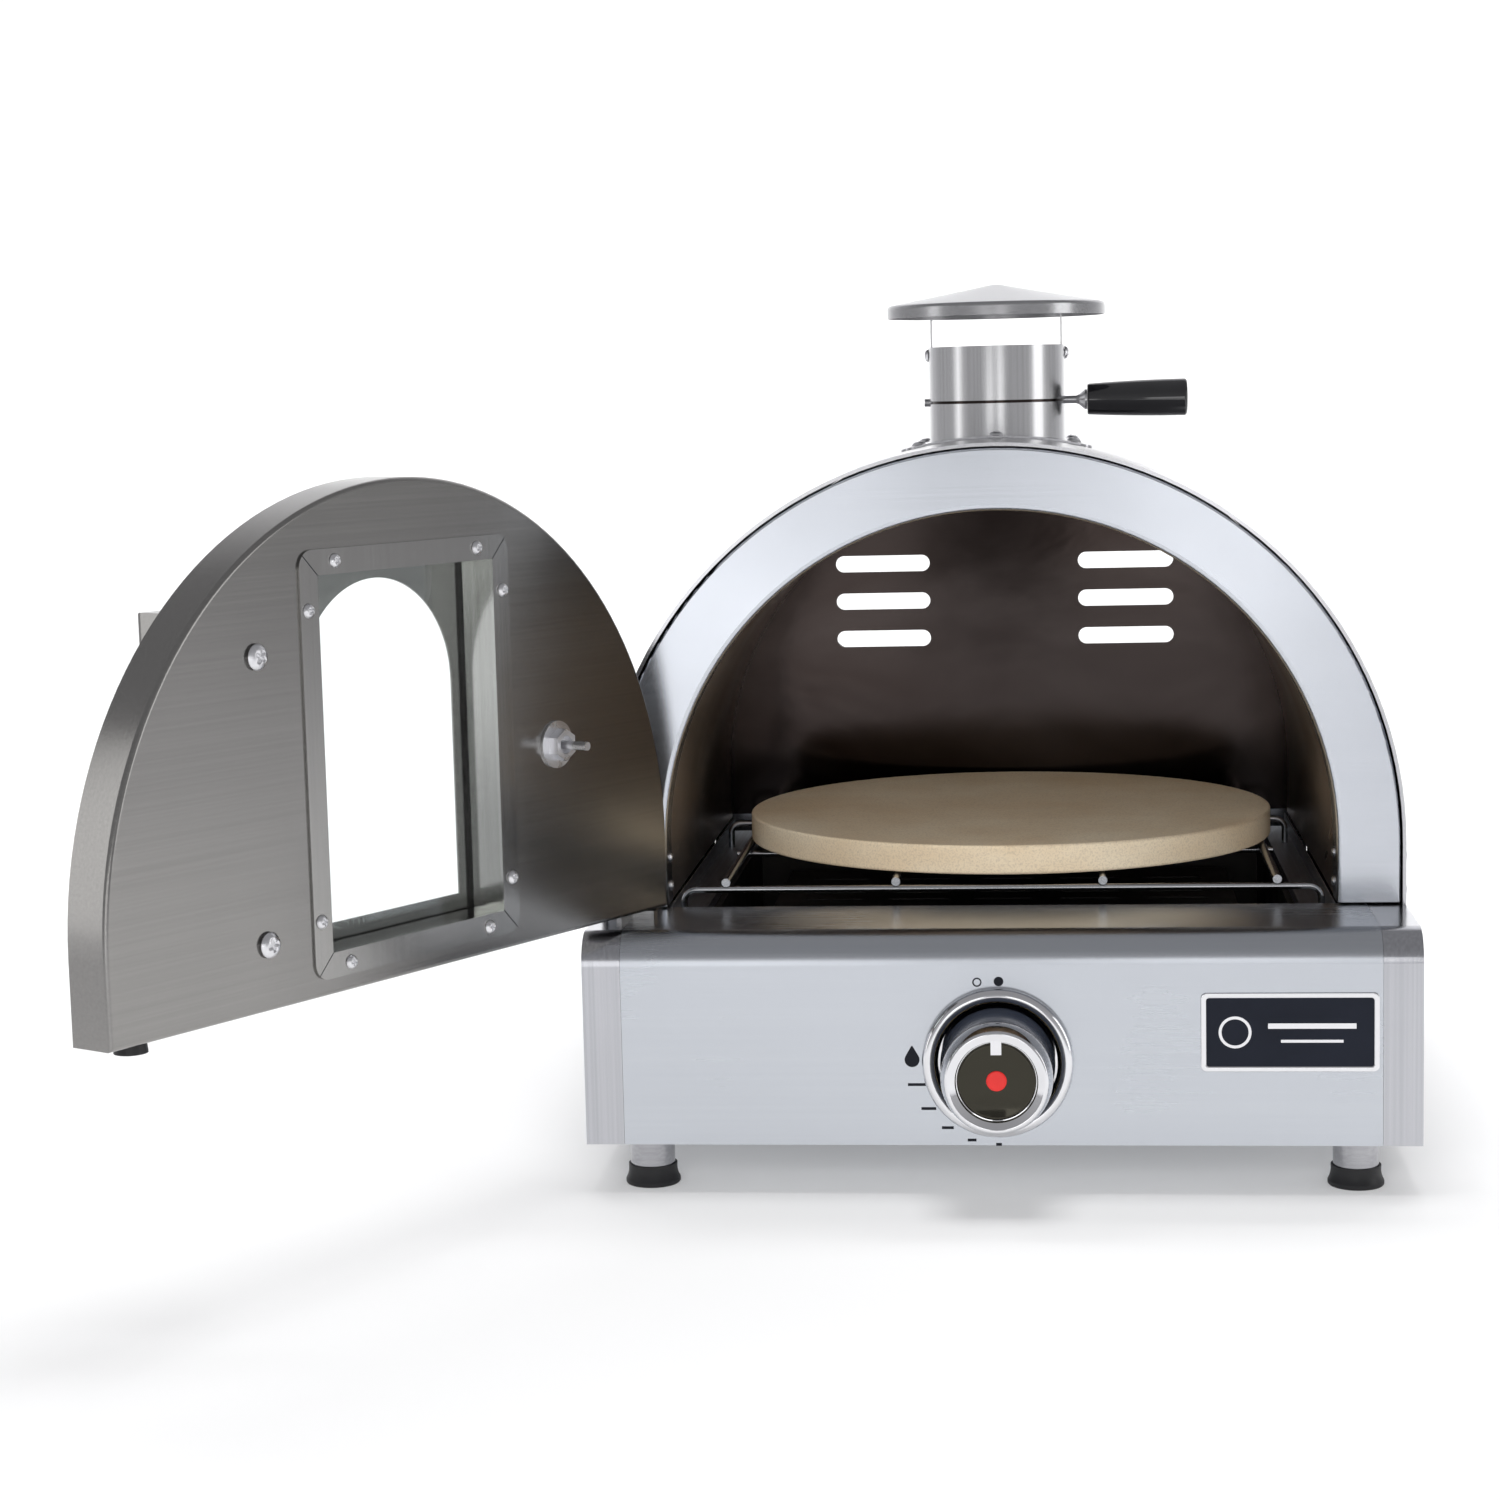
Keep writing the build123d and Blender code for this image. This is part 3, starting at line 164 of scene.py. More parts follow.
def moulded(name, colour, roughness, pebble=900.0, strength=0.08, gloss=0.5):
    """Moulded plastic, rubber or enamel: a fine pebbled skin with slightly uneven gloss."""
    made, tree, bsdf = shader(name, colour, roughness)
    bsdf.inputs["Specular IOR Level"].default_value = gloss
    skin = noise(tree, (pebble, pebble, pebble), 3.0)
    wear = noise(tree, (30.0, 30.0, 30.0), 4.0, 0.0, (1.0, 4.0, 2.0))
    tree.links.new(ranged(tree, wear, roughness * 0.8, roughness * 1.3), bsdf.inputs["Roughness"])
    paler = tuple(min(1.0, c * 1.5 + 0.004) for c in colour)
    tree.links.new(mixed(tree, ranged(tree, wear, 0.0, 0.6), colour, paler), bsdf.inputs["Base Color"])
    bump(tree, bsdf, skin, strength, 0.0002)
    return made


def fired_stone(name):
    """Cordierite: buff body, mauve-brown where the oven has toasted it, with fine grit."""
    made, tree, bsdf = shader(name, (0.60, 0.44, 0.28), 0.82)
    clouds = noise(tree, (14.0, 14.0, 30.0), 5.0)
    grit = noise(tree, (900.0, 900.0, 900.0), 4.0)
    shade = mixed(tree, ranged(tree, clouds, 0.0, 1.0), (0.84, 0.66, 0.44), (0.95, 0.82, 0.61))
    shade = mixed(tree, ranged(tree, grit, 0.0, 0.35, 0.45, 0.75), shade, (0.36, 0.27, 0.20))
    tree.links.new(shade, bsdf.inputs["Base Color"])
    bump(tree, bsdf, grit, 0.25, 0.0004)
    return made


def ceramic_fibre(name):
    made, tree, bsdf = shader(name, (0.80, 0.79, 0.75), 0.95)
    fluff = noise(tree, (400.0, 400.0, 400.0), 6.0, 0.0, (0, 0, 0), 1.0)
    tree.links.new(mixed(tree, ranged(tree, fluff, 0.0, 1.0), (0.70, 0.68, 0.63), (0.86, 0.85, 0.81)),
                   bsdf.inputs["Base Color"])
    bump(tree, bsdf, fluff, 0.5, 0.001)
    return made


def clear_glass(name):
    """Window glass with faint smears."""
    made, tree, bsdf = shader(name, (0.93, 0.97, 0.96), 0.02)
    bsdf.inputs["Transmission Weight"].default_value = 1.0
    bsdf.inputs["IOR"].default_value = 1.45
    smears = noise(tree, (25.0, 25.0, 60.0), 4.0)
    tree.links.new(ranged(tree, smears, 0.0, 0.05, 0.45, 0.8), bsdf.inputs["Roughness"])
    return made


def heat_tinted(name, dark, light, roughness):
    """Sheet clouded between a dark and a light colour: the fire's straw and brown tint on the liner, near
    black as painted shade on the back wall and chimney sleeve.
    """
    made, tree, bsdf = shader(name, light, roughness, metallic=1.0)
    clouds = noise(tree, (6.0, 6.0, 9.0), 4.0, 0.0, (2.0, 0.0, 1.0), 0.6)
    lines = noise(tree, (1500.0, 20.0, 1500.0), 3.0)
    tree.links.new(mixed(tree, ranged(tree, clouds, 0.0, 1.0), dark, light), bsdf.inputs["Base Color"])
    tree.links.new(ranged(tree, clouds, roughness - 0.04, roughness + 0.06), bsdf.inputs["Roughness"])
    bump(tree, bsdf, lines, 0.04, 0.0001)
    bump(tree, bsdf, clouds, 0.10, 0.004)
    return made


# ---------------------------------------------------------------- materials
PANEL = steel("panel_steel", (0.585, 0.61, 0.65), (0.56, 0.585, 0.628), 0.26)
STRIP = steel("side_steel", (0.55, 0.555, 0.585), (0.47, 0.475, 0.505), 0.18, along="z")
FASCIA = steel("fascia_steel", (0.625, 0.65, 0.695), (0.595, 0.62, 0.665), 0.22)
SKIN = steel("dome_steel", (0.62, 0.62, 0.64), (0.56, 0.56, 0.58), 0.20, along="y")
PIPE = steel("pipe_steel", (0.68, 0.68, 0.69), (0.60, 0.60, 0.61), 0.22, along="z")
CAP = steel("cap_steel", (0.50, 0.50, 0.51), (0.45, 0.45, 0.46), 0.24)
# painted shade: the door's steel is set about half as bright as the other steel, standing in for the darker
# surroundings that the door reflects
DOOR_PAINTED_SHADE = steel("door_steel", (0.325, 0.318, 0.307), (0.290, 0.283, 0.274), 0.22, turn=DOOR_TURN + pi / 2)
FRAME = steel("frame_steel", (0.38, 0.375, 0.365), (0.34, 0.335, 0.325), 0.17, along="z")
WIRE = steel("wire_steel", (0.60, 0.61, 0.63), (0.52, 0.53, 0.54), 0.20, grain=0.4)
# painted shade: the leg tubes' steel is set darker than the other steel, standing in for the darker
# reflections the legs show
LEG_PAINTED_SHADE = steel("leg_steel_painted_shade", (0.46, 0.46, 0.48), (0.38, 0.38, 0.40), 0.16, grain=0.6)
BURNER = steel("burner_steel", (0.36, 0.34, 0.32), (0.22, 0.20, 0.18), 0.38)
LINER = heat_tinted("liner_steel", (0.54, 0.44, 0.38), (0.76, 0.72, 0.69), 0.30)
# painted shade: near-black steel on the back wall and chimney sleeve, so the deep chamber and the seam round
# the pipe read as in shade
PAINTED_SHADE_BACK = heat_tinted("back_wall_steel_painted_shade", (0.028, 0.021, 0.019), (0.062, 0.051, 0.048), 0.13)
RAIL = steel("rail_steel", (0.66, 0.70, 0.76), (0.54, 0.57, 0.62), 0.34, along="y")
CHROME = polished("chrome", (0.80, 0.80, 0.82), 0.05)
SMOKED = polished("smoked_chrome", (0.050, 0.047, 0.037), 0.05)
SCREW = polished("screw_plating", (0.78, 0.78, 0.80), 0.24)
SKIRT = moulded("knob_plastic", (0.030, 0.036, 0.052), 0.16, 700.0, 0.02)
HANDLE = moulded("handle_plastic", (0.004, 0.004, 0.005), 0.06, 600.0, 0.01, gloss=0.9)
RUBBER = moulded("rubber", (0.006, 0.006, 0.007), 0.50, 1200.0, 0.12)
FIREBOX = moulded("firebox_enamel", (0.020, 0.019, 0.018), 0.42, 500.0, 0.15)
BRASS = polished("brass", (0.72, 0.55, 0.25), 0.22)
STONE = fired_stone("stone")
FIBRE = ceramic_fibre("ceramic_fibre")
GLASS = clear_glass("glass")
INK = moulded("printing_ink", (0.008, 0.009, 0.013), 0.5, 3000.0, 0.02, gloss=0.15)
DIAL = moulded("dial_enamel", (0.80, 0.80, 0.77), 0.35, 2000.0, 0.02)
POINTER = moulded("pointer_paint", (0.55, 0.015, 0.012), 0.35, 2000.0, 0.02)
FIELD = moulded("plate_enamel", (0.008, 0.010, 0.017), 0.45, 1500.0, 0.03, gloss=0.15)
CERAMIC = moulded("igniter_ceramic", (0.80, 0.76, 0.68), 0.20, 400.0, 0.02)

FINISH = {
    PANEL: ("base_front_panel", "base_back_panel", "base_floor"),
    STRIP: ("base_side_left", "base_side_right"),
    FASCIA: ("front_fascia", "rear_cover"),
    SKIN: ("dome_skin", "chimney_flange"),
    PIPE: ("chimney_pipe_lower", "chimney_pipe_upper", "cap_straps", "damper_spindle"),
    CAP: ("chimney_cap", "damper_plate"),
    DOOR_PAINTED_SHADE: ("door_inner_pan", "door_outer_panel", "door_handle", "hinge_guide"),
    FRAME: ("window_frame", "hinge_bracket"),
    WIRE: ("cooking_rack",),
    LEG_PAINTED_SHADE: ("leg_tubes",),
    BURNER: ("burner", "venturi_tube"),
    LINER: ("inner_liner",),
    PAINTED_SHADE_BACK: ("inner_back_wall", "chimney_sleeve"),
    RAIL: ("rack_rails",),
    CHROME: ("knob_bezel", "knob_cap", "hinge_pin", "thermometer_case"),
    SCREW: ("cap_screws", "fascia_screws", "flange_screws", "handle_screws", "window_screws", "leg_bolts",
            "valve_stem", "thermometer_nut", "thermometer_probe"),
    SKIRT: ("knob_skirt",),
    HANDLE: ("damper_handle",),
    RUBBER: ("foot_pads", "door_foot"),
    FIREBOX: ("firebox_tray", "heat_shield"),
    BRASS: ("gas_valve", "gas_feed_pipe", "gas_inlet", "valve_plunger"),
    STONE: ("pizza_stone",),
    FIBRE: ("insulation_blanket",),
    GLASS: ("window_glass", "thermometer_lens"),
    POINTER: ("thermometer_pointer",),
    FIELD: ("nameplate",),
    CERAMIC: ("igniter_electrode",),
}
for material, names in FINISH.items():
    for name in names:
        mesh = NODES[name].data
        mesh.materials.clear()
        mesh.materials.append(material)

# ---------------------------------------------------------------- mesh helpers
def piece(name, shape, material, body, slot, *replaced):
    """A finished piece from a bmesh, riding on a body and standing for CAD nodes if any are named."""
    made = bpy.data.meshes.new(name)
    shape.to_mesh(made)
    shape.free()
    made.materials.append(material)
    held = bpy.data.objects.new(name, made)
    bpy.context.scene.collection.objects.link(held)
    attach(held, body)
    if replaced:
        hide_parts(*replaced)
    return held


def turns(count):
    """Angles evenly round a circle."""
    return [2 * pi * k / count for k in range(count)]


def join(shape, first, second, smooth=False):
    """Quads between two closed loops of as many corners."""
    count = len(first)
    for k in range(count):
        after = (k + 1) % count
        shape.faces.new((first[k], first[after], second[after], second[k])).smooth = smooth


def prism(shape, low, high):
    """Closed solid between two outlines of as many points, seen anticlockwise from the high side."""
    low = [shape.verts.new(point) for point in low]
    high = [shape.verts.new(point) for point in high]
    shape.faces.new(high)
    shape.faces.new(list(reversed(low)))
    join(shape, low, high)


def solids(node):
    """The separate solids of a CAD node, each as a list of its corners."""
    mesh = NODES[node].data
    group = {}

    def root(key):
        while group[key] != key:
            key = group[key]
        return key

    keys = [tuple(round(c, 6) for c in vertex.co) for vertex in mesh.vertices]
    for key in keys:
        group.setdefault(key, key)
    for face in mesh.polygons:
        first = root(keys[face.vertices[0]])
        for index in face.vertices[1:]:
            group[root(keys[index])] = first
    found = {}
    for key in group:
        found.setdefault(root(key), []).append(Vector(key))
    return [found[key] for key in sorted(found)]


def upright(normal):
    """Two directions across a normal, the second as near to +Z as it can be."""
    side = Vector((0, 0, 1)).cross(normal)
    if side.length < 0.01:
        side = Vector((1, 0, 0))
    side.normalize()
    return side, normal.cross(side)


def extent(points, axis):
    along = [point.dot(axis) for point in points]
    return min(along), max(along)


def frame_of(points, normal):
    """Matrix and radius of a round solid: local z is its axis, and the origin is at its outer end."""
    side, up = upright(normal)
    sides, ups, outs = extent(points, side), extent(points, up), extent(points, normal)
    origin = side * sum(sides) / 2 + up * sum(ups) / 2 + normal * outs[1]
    turn = Matrix((side, up, normal)).transposed().to_4x4()
    return Matrix.Translation(origin) @ turn, (sides[1] - sides[0]) / 2


def ring_points(radius, height, count):
    return [(radius * cos(a), radius * sin(a), height) for a in turns(count)]


def lathe(shape, profile, place, count=48, closed_top=True):
    """Rings of the profile's (radius, height) pairs about local z, joined and placed by a matrix."""
    rings = [[shape.verts.new(place @ Vector(p)) for p in ring_points(r, h, count)] for r, h in profile]
    for low, high in zip(rings, rings[1:]):
        join(shape, low, high, smooth=True)
    if closed_top:
        shape.faces.new(rings[-1]).smooth = True
    return rings


CROSS_HALF, CROSS_LONG = 0.17, 0.56      # arm half width and reach of a screw's recess, in head radii
SIDE_SLOPE, END_SLOPE = 0.07, 0.12       # how wide its sloping walls are, in head radii
RECESS_DEEP, HEAD_CROWN = 0.55, 0.9      # in head heights
HEAD_TOP = 0.97                          # radius of the crown, in head radii
SHANK = ((0.5, 1.0), (0.45, 2.2))        # radius in head radii and depth in head heights


def recess(x, y, radius, depth):
    """How far the cross recess lies below the head at a point of it."""
    x, y = abs(x) / radius, abs(y) / radius
    along, across = max(x, y), min(x, y)
    wall = min(1.0, max(0.0, (CROSS_HALF - across) / SIDE_SLOPE))
    end = min(1.0, max(0.0, (CROSS_LONG - along) / END_SLOPE))
    return depth * wall * end


def screw_head(shape, place, radius, height, turn):
    """Pan head with a cross recess; its top is at local z = 0 and its shank goes down from its base."""
    count, rings = 48, 16
    spin = place @ Matrix.Rotation(turn, 4, "Z")
    grid = []
    for k in range(1, rings + 1):
        share = k / rings
        crown = -height * HEAD_CROWN * share ** 4
        ring = []
        for x, y, _ in ring_points(radius * HEAD_TOP * share, 0, count):
            sunk = recess(x, y, radius, height * RECESS_DEEP)
            ring.append(shape.verts.new(spin @ Vector((x, y, crown - sunk))))
        grid.append(ring)
    for wide, deep in ((1.0, 1.0),) + SHANK:
        ring = ring_points(radius * wide, -height * deep, count)
        grid.append([shape.verts.new(spin @ Vector(point)) for point in ring])
    middle = shape.verts.new(spin @ Vector((0, 0, -height * RECESS_DEEP)))
    for k in range(count):
        shape.faces.new((middle, grid[0][k], grid[0][(k + 1) % count])).smooth = True
    for inner, outer in zip(grid, grid[1:]):
        join(shape, outer, inner, smooth=True)
    shape.faces.new(list(reversed(grid[-1])))


FIRST_TURN, NEXT_TURN = 0.3, 0.7         # how far each recess is turned from the one before


def screw_set(node, body, height, normal_of):
    """Detailed screws in the places of a CAD node's plain ones."""
    shape = bmesh.new()
    for number, corners in enumerate(solids(node)):
        middle = sum(corners, Vector()) / len(corners)
        place, radius = frame_of(corners, normal_of(middle))
        screw_head(shape, place, radius, height, FIRST_TURN + NEXT_TURN * number)
    return piece(node + "_detailed", shape, SCREW, body, "screw_steel", node)


# ---------------------------------------------------------------- screws
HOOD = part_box("dome_skin")
HOOD_R = (HOOD[1].x - HOOD[0].x) / 2
HOOD_AXIS = Vector((0, 0, HOOD[1].z - HOOD_R))
SCREW_REACH = 4 * MM                     # a screw this near to the hood's side is an outer one


def sideways(point):
    return Vector((1 if point.x > 0 else -1, 0, 0))


def hood_leg(point):
    """Screws on the hood's legs: the outer ones point outward and the ones in the mouth point inward."""
    return sideways(point) * (1 if abs(point.x) > HOOD_R - SCREW_REACH else -1)


def off_hood(point):
    return Vector((point.x, 0, point.z - HOOD_AXIS.z)).normalized()


def off_door(point):
    return -DOOR_NORMAL


screw_set("fascia_screws", "oven", 1.6 * MM, hood_leg)
screw_set("flange_screws", "oven", 2.3 * MM, off_hood)
screw_set("cap_screws", "oven", 2.5 * MM, sideways)
screw_set("window_screws", "door", 2.4 * MM, off_door)
screw_set("handle_screws", "door", 2.9 * MM, off_door)


# ---------------------------------------------------------------- marks on the control panel
PANEL_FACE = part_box("base_front_panel")[0].y
KNOB_AXIS = Vector(JOINTS["knob_turn"]["pos_m"])
INK_THICK = 0.08 * MM
OFF_RISE = 45.6 * MM                     # off mark and dot above the knob's axis
OFF_DOT_X, OFF_DOT_R = 1.0 * MM, 2.7 * MM
OFF_RING_X, OFF_RING_DROP, OFF_RING_R, OFF_RING_WIDE = -11.0 * MM, 0.4 * MM, 2.6 * MM, 0.8 * MM
DROP_X, DROP_RISE, DROP_SIZE = -47.8 * MM, 1.2 * MM, 4.2 * MM
HEAT_STEPS, HEAT_REACH = 5, 47.2 * MM
HEAT_START, HEAT_STEP = 196, 18.5        # degrees
HEAT_HALF, HEAT_SHRINK, HEAT_THIN = 5.0 * MM, 0.85 * MM, 0.8 * MM


def flat_shape(shape, outline, y, thick):
    """Plate with a given outline in X and Z, standing proud of the face at y."""
    prism(shape, [(x, y, z) for x, z in outline], [(x, y - thick, z) for x, z in outline])


def disc_outline(x, z, radius, count=40):
    return [(x + radius * cos(a), z + radius * sin(a)) for a in turns(count)]


def bar_outline(x, z, half_long, half_wide):
    return [(x - half_long, z - half_wide), (x + half_long, z - half_wide), (x + half_long, z + half_wide),
            (x - half_long, z + half_wide)]


def drop_outline(x, z, size, count=36):
    """A plain drop with its point up."""
    made = []
    for a in turns(count):
        pull = max(0.0, sin(a)) ** 3
        made.append((x + size * cos(a) * (1 - 0.55 * pull), z + size * (sin(a) + 0.9 * pull)))
    return made


def ring_strip(shape, x, z, radius, wide, y, thick, count=40):
    """Flat ring standing proud of the face at y."""
    inner = radius - wide
    section = ((radius, y), (radius, y - thick), (inner, y - thick), (inner, y))
    loops = [[shape.verts.new((px, py, pz)) for px, pz in disc_outline(x, z, r, count)] for r, py in section]
    for low, high in zip(loops, loops[1:] + loops[:1]):
        join(shape, low, high)


def panel_marks():
    """Off mark and dot above the knob, a drop for the flame, and the heat scale round its lower left."""
    shape = bmesh.new()
    top = KNOB_AXIS.z + OFF_RISE
    flat_shape(shape, disc_outline(OFF_DOT_X, top, OFF_DOT_R), PANEL_FACE, INK_THICK)
    ring_strip(shape, OFF_RING_X, top - OFF_RING_DROP, OFF_RING_R, OFF_RING_WIDE, PANEL_FACE, INK_THICK)
    flat_shape(shape, drop_outline(DROP_X, KNOB_AXIS.z + DROP_RISE, DROP_SIZE), PANEL_FACE, INK_THICK)
    for step in range(HEAT_STEPS):
        angle = radians(HEAT_START + HEAT_STEP * step)
        x, z = HEAT_REACH * cos(angle), KNOB_AXIS.z + HEAT_REACH * sin(angle)
        bar = bar_outline(x, z, HEAT_HALF - HEAT_SHRINK * step, HEAT_THIN)
        flat_shape(shape, bar, PANEL_FACE, INK_THICK)
    piece("panel_marks", shape, INK, "oven", "plate_black")


panel_marks()


# ---------------------------------------------------------------- plate
PLATE_CORNER, CORNER_TIGHTEN = 3.2, 0.5  # corner radius in mm, and what it loses for each mm inward
RIM_STEPS = ((0.0, 1.0), (0.0, 0.3), (0.25, 0.06), (0.6, 0.0), (2.1, 0.0), (2.5, 0.1), (2.9, 0.55))
FIELD_INSET, FIELD_CORNER = 2.6 * MM, 1.9 * MM
FIELD_LEVEL, MARK_LEVEL, MARK_THICK = 0.6, 0.5, 0.1                  # shares of the plate's depth
MARK_RING_X, MARK_RING_R, MARK_RING_WIDE = -30 * MM, 9 * MM, 1.6 * MM
MARK_BAR_X = 12 * MM
MARK_BARS = ((3.5 * MM, 24 * MM, 1.5 * MM), (-5.0 * MM, 17 * MM, 0.8 * MM))      # rise and half sizes


def rounded_outline(half_x, half_z, radius, steps=8):
    """Corners of a rounded rectangle, anticlockwise from its right side."""
    made = []
    for corner, (sx, sz) in enumerate(((1, 1), (-1, 1), (-1, -1), (1, -1))):
        for k in range(steps + 1):
            a = pi / 2 * (corner + k / steps)
            x, z = sx * (half_x - radius), sz * (half_z - radius)
            made.append((x + radius * cos(a), z + radius * sin(a)))
    return made


def maker_plate():
    """Bright rounded rim round a dark field with a plain ring and two bars."""
    low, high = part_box("nameplate")
    middle = (low + high) / 2
    half_x, half_z = (high.x - low.x) / 2, (high.z - low.z) / 2
    face, depth = low.y, high.y - low.y
    shape = bmesh.new()
    loops = []
    for inset, sunk in RIM_STEPS:
        corner = (PLATE_CORNER - CORNER_TIGHTEN * inset) * MM
        outline = rounded_outline(half_x - inset * MM, half_z - inset * MM, corner)
        y = face + sunk * depth
        loops.append([shape.verts.new((middle.x + x, y, middle.z + z)) for x, z in outline])
    for first, second in zip(loops, loops[1:]):
        join(shape, first, second, smooth=True)
    shape.faces.new(list(reversed(loops[0])))
    piece("plate_rim", shape, CHROME, "oven", "chrome", "nameplate")
    inner = rounded_outline(half_x - FIELD_INSET, half_z - FIELD_INSET, FIELD_CORNER)
    thick = MARK_THICK * depth
    ground = bmesh.new()
    flat_shape(ground, [(middle.x + x, middle.z + z) for x, z in inner], face + FIELD_LEVEL * depth, thick)
    piece("plate_field", ground, FIELD, "oven", "plate_black")
    mark = bmesh.new()
    level = face + MARK_LEVEL * depth
    ring_strip(mark, middle.x + MARK_RING_X, middle.z, MARK_RING_R, MARK_RING_WIDE, level, thick)
    for rise, half_long, half_wide in MARK_BARS:
        bar = bar_outline(middle.x + MARK_BAR_X, middle.z + rise, half_long, half_wide)
        flat_shape(mark, bar, level, thick)
    piece("plate_mark", mark, CHROME, "oven", "chrome")


maker_plate()


# ---------------------------------------------------------------- knob's dot
DISC_SUNK, DISC_R, DISC_SAG, DISC_THICK = 4.8 * MM, 21.4 * MM, 1.6 * MM, 0.15 * MM
DISC_STEPS = 14
ROUND_COUNT = 64                         # corners of the larger rings
DOT_PROFILE = ((5.6, 0), (5.6, 0.6), (5.1, 0.85), (3.6, 1.0), (1.4, 1.05))       # radius and height in mm


def knob_dot():
    """Dished dark disc in the knob's face, with a red dot in its middle."""
    low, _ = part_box("knob_cap")
    place = Matrix.Translation((0, low.y + DISC_SUNK, KNOB_AXIS.z)) @ Matrix.Rotation(pi / 2, 4, "X")
    dish = bmesh.new()
    shares = [1 - k / DISC_STEPS for k in range(DISC_STEPS)]
    hollow = [(DISC_R * share, DISC_SAG * share ** 2 + DISC_THICK) for share in shares]
    lathe(dish, [(DISC_R, 0)] + hollow, place, ROUND_COUNT)
    piece("knob_disc", dish, SMOKED, "knob", "chrome")
    shape = bmesh.new()
    lathe(shape, [(radius * MM, height * MM) for radius, height in DOT_PROFILE], place)
    piece("knob_dot", shape, POINTER, "knob", "pointer_red")


knob_dot()


# ---------------------------------------------------------------- thermometer dial
DIAL_LEVEL = -0.72 * MM                  # the dial's face, from the pointer's pivot
DIAL_R, DIAL_MIDDLE, DIAL_HOLE, DIAL_THICK = 25.2 * MM, 12 * MM, 3.4 * MM, 0.1 * MM
DIAL_START, DIAL_SWEEP = 225, 270        # degrees
TICKS, TICKS_PER_NUMBER = 50, 10
TICK_REACH, TICK_RISE = 23.6 * MM, 0.06 * MM
LONG_INNER, LONG_HALF = 19.6 * MM, 0.45 * MM
SHORT_INNER, SHORT_HALF = 21.8 * MM, 0.18 * MM
NUMBER_REACH, NUMBER_SIZE, NUMBER_STEP = 15.6 * MM, 4.2 * MM, 100
NUMBER_THICK, NUMBER_RISE = 0.03 * MM, 0.05 * MM


def dial_face():
    """White dial with a scale of ticks and numbers, behind the pointer."""
    centre = Vector(JOINTS["needle_turn"]["pos_m"])
    side, up = upright(DOOR_NORMAL)
    turn = Matrix((side, up, DOOR_NORMAL)).transposed().to_4x4()
    place = Matrix.Translation(centre) @ turn
    level = DIAL_LEVEL
    shape = bmesh.new()
    profile = [(DIAL_R, level - DIAL_THICK), (DIAL_R, level), (DIAL_MIDDLE, level), (DIAL_HOLE, level)]
    lathe(shape, profile, place, ROUND_COUNT, closed_top=False)
    piece("dial_face", shape, DIAL, "door", "satin_steel")
    marks = bmesh.new()
    for k in range(TICKS + 1):
        angle = radians(DIAL_START - DIAL_SWEEP * k / TICKS)
        inner, half = (LONG_INNER, LONG_HALF) if k % TICKS_PER_NUMBER == 0 else (SHORT_INNER, SHORT_HALF)
        out = Vector((cos(angle), sin(angle), 0))
        across = Vector((-sin(angle), cos(angle), 0)) * half
        near, far = out * inner, out * TICK_REACH
        corners = [near - across, far - across, far + across, near + across]
        low, high = ([place @ (c + Vector((0, 0, h))) for c in corners] for h in (level, level + TICK_RISE))
        prism(marks, low, high)
    piece("dial_scale", marks, INK, "door", "plate_black")
    numbers = TICKS // TICKS_PER_NUMBER
    for k in range(numbers + 1):
        angle = radians(DIAL_START - DIAL_SWEEP * k / numbers)
        text = bpy.data.curves.new(f"dial_number_{k}", "FONT")
        text.body = str(k * NUMBER_STEP)
        text.size = NUMBER_SIZE
        text.extrude = NUMBER_THICK
        text.align_x, text.align_y = "CENTER", "CENTER"
        held = bpy.data.objects.new(f"dial_number_{k}", text)
        bpy.context.scene.collection.objects.link(held)
        spot = Vector((NUMBER_REACH * cos(angle), NUMBER_REACH * sin(angle), level + NUMBER_RISE))
        held.matrix_world = place @ Matrix.Translation(spot)
        text.materials.append(INK)
        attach(held, "door")


dial_face()


# ---------------------------------------------------------------- window frame
FRAME_LAP = 12.8 * MM
SEAM_PROUD, SEAM_HALF, SEAM_START = 0.06 * MM, 0.22 * MM, 2.6 * MM


def frame_seams():
    """Hairline mitres across the window frame's four corners."""
    outward = -DOOR_NORMAL
    side, up = upright(outward)
    points = [v.co for v in NODES["window_frame"].data.vertices]
    left, right = extent(points, side)
    low, high = extent(points, up)
    face = extent(points, outward)[1]
    diagonal = 2 ** 0.5
    shape = bmesh.new()
    for sx, edge_x in ((1, left), (-1, right)):
        for sz, edge_z in ((1, low), (-1, high)):
            along = (side * sx + up * sz).normalized()
            across = (side * sx - up * sz).normalized() * SEAM_HALF
            corner = side * edge_x + up * edge_z + outward * face
            near = corner + along * SEAM_START * diagonal
            far = corner + along * FRAME_LAP * diagonal
            rim = [near - across, far - across, far + across, near + across]
            prism(shape, [p - outward * SEAM_PROUD for p in rim], [p + outward * SEAM_PROUD for p in rim])
    bmesh.ops.recalc_face_normals(shape, faces=shape.faces)
    piece("frame_seams", shape, INK, "door", "door_steel")


frame_seams()


# ---------------------------------------------------------------- stage, camera and light
FLOOR_FRONT, FLOOR_BACK, FLOOR_HALF = -6.0, 2.0, 7.0
COVE_R, BACKDROP_TOP = 1.2, 5.0
PAPER_PALE, PAPER_DIM = (0.80, 0.80, 0.80), (0.55, 0.55, 0.56)
GLOW_PALE, GLOW_DIM, GLOW = (1, 1, 1), (1.15, 1.15, 1.17), 0.17


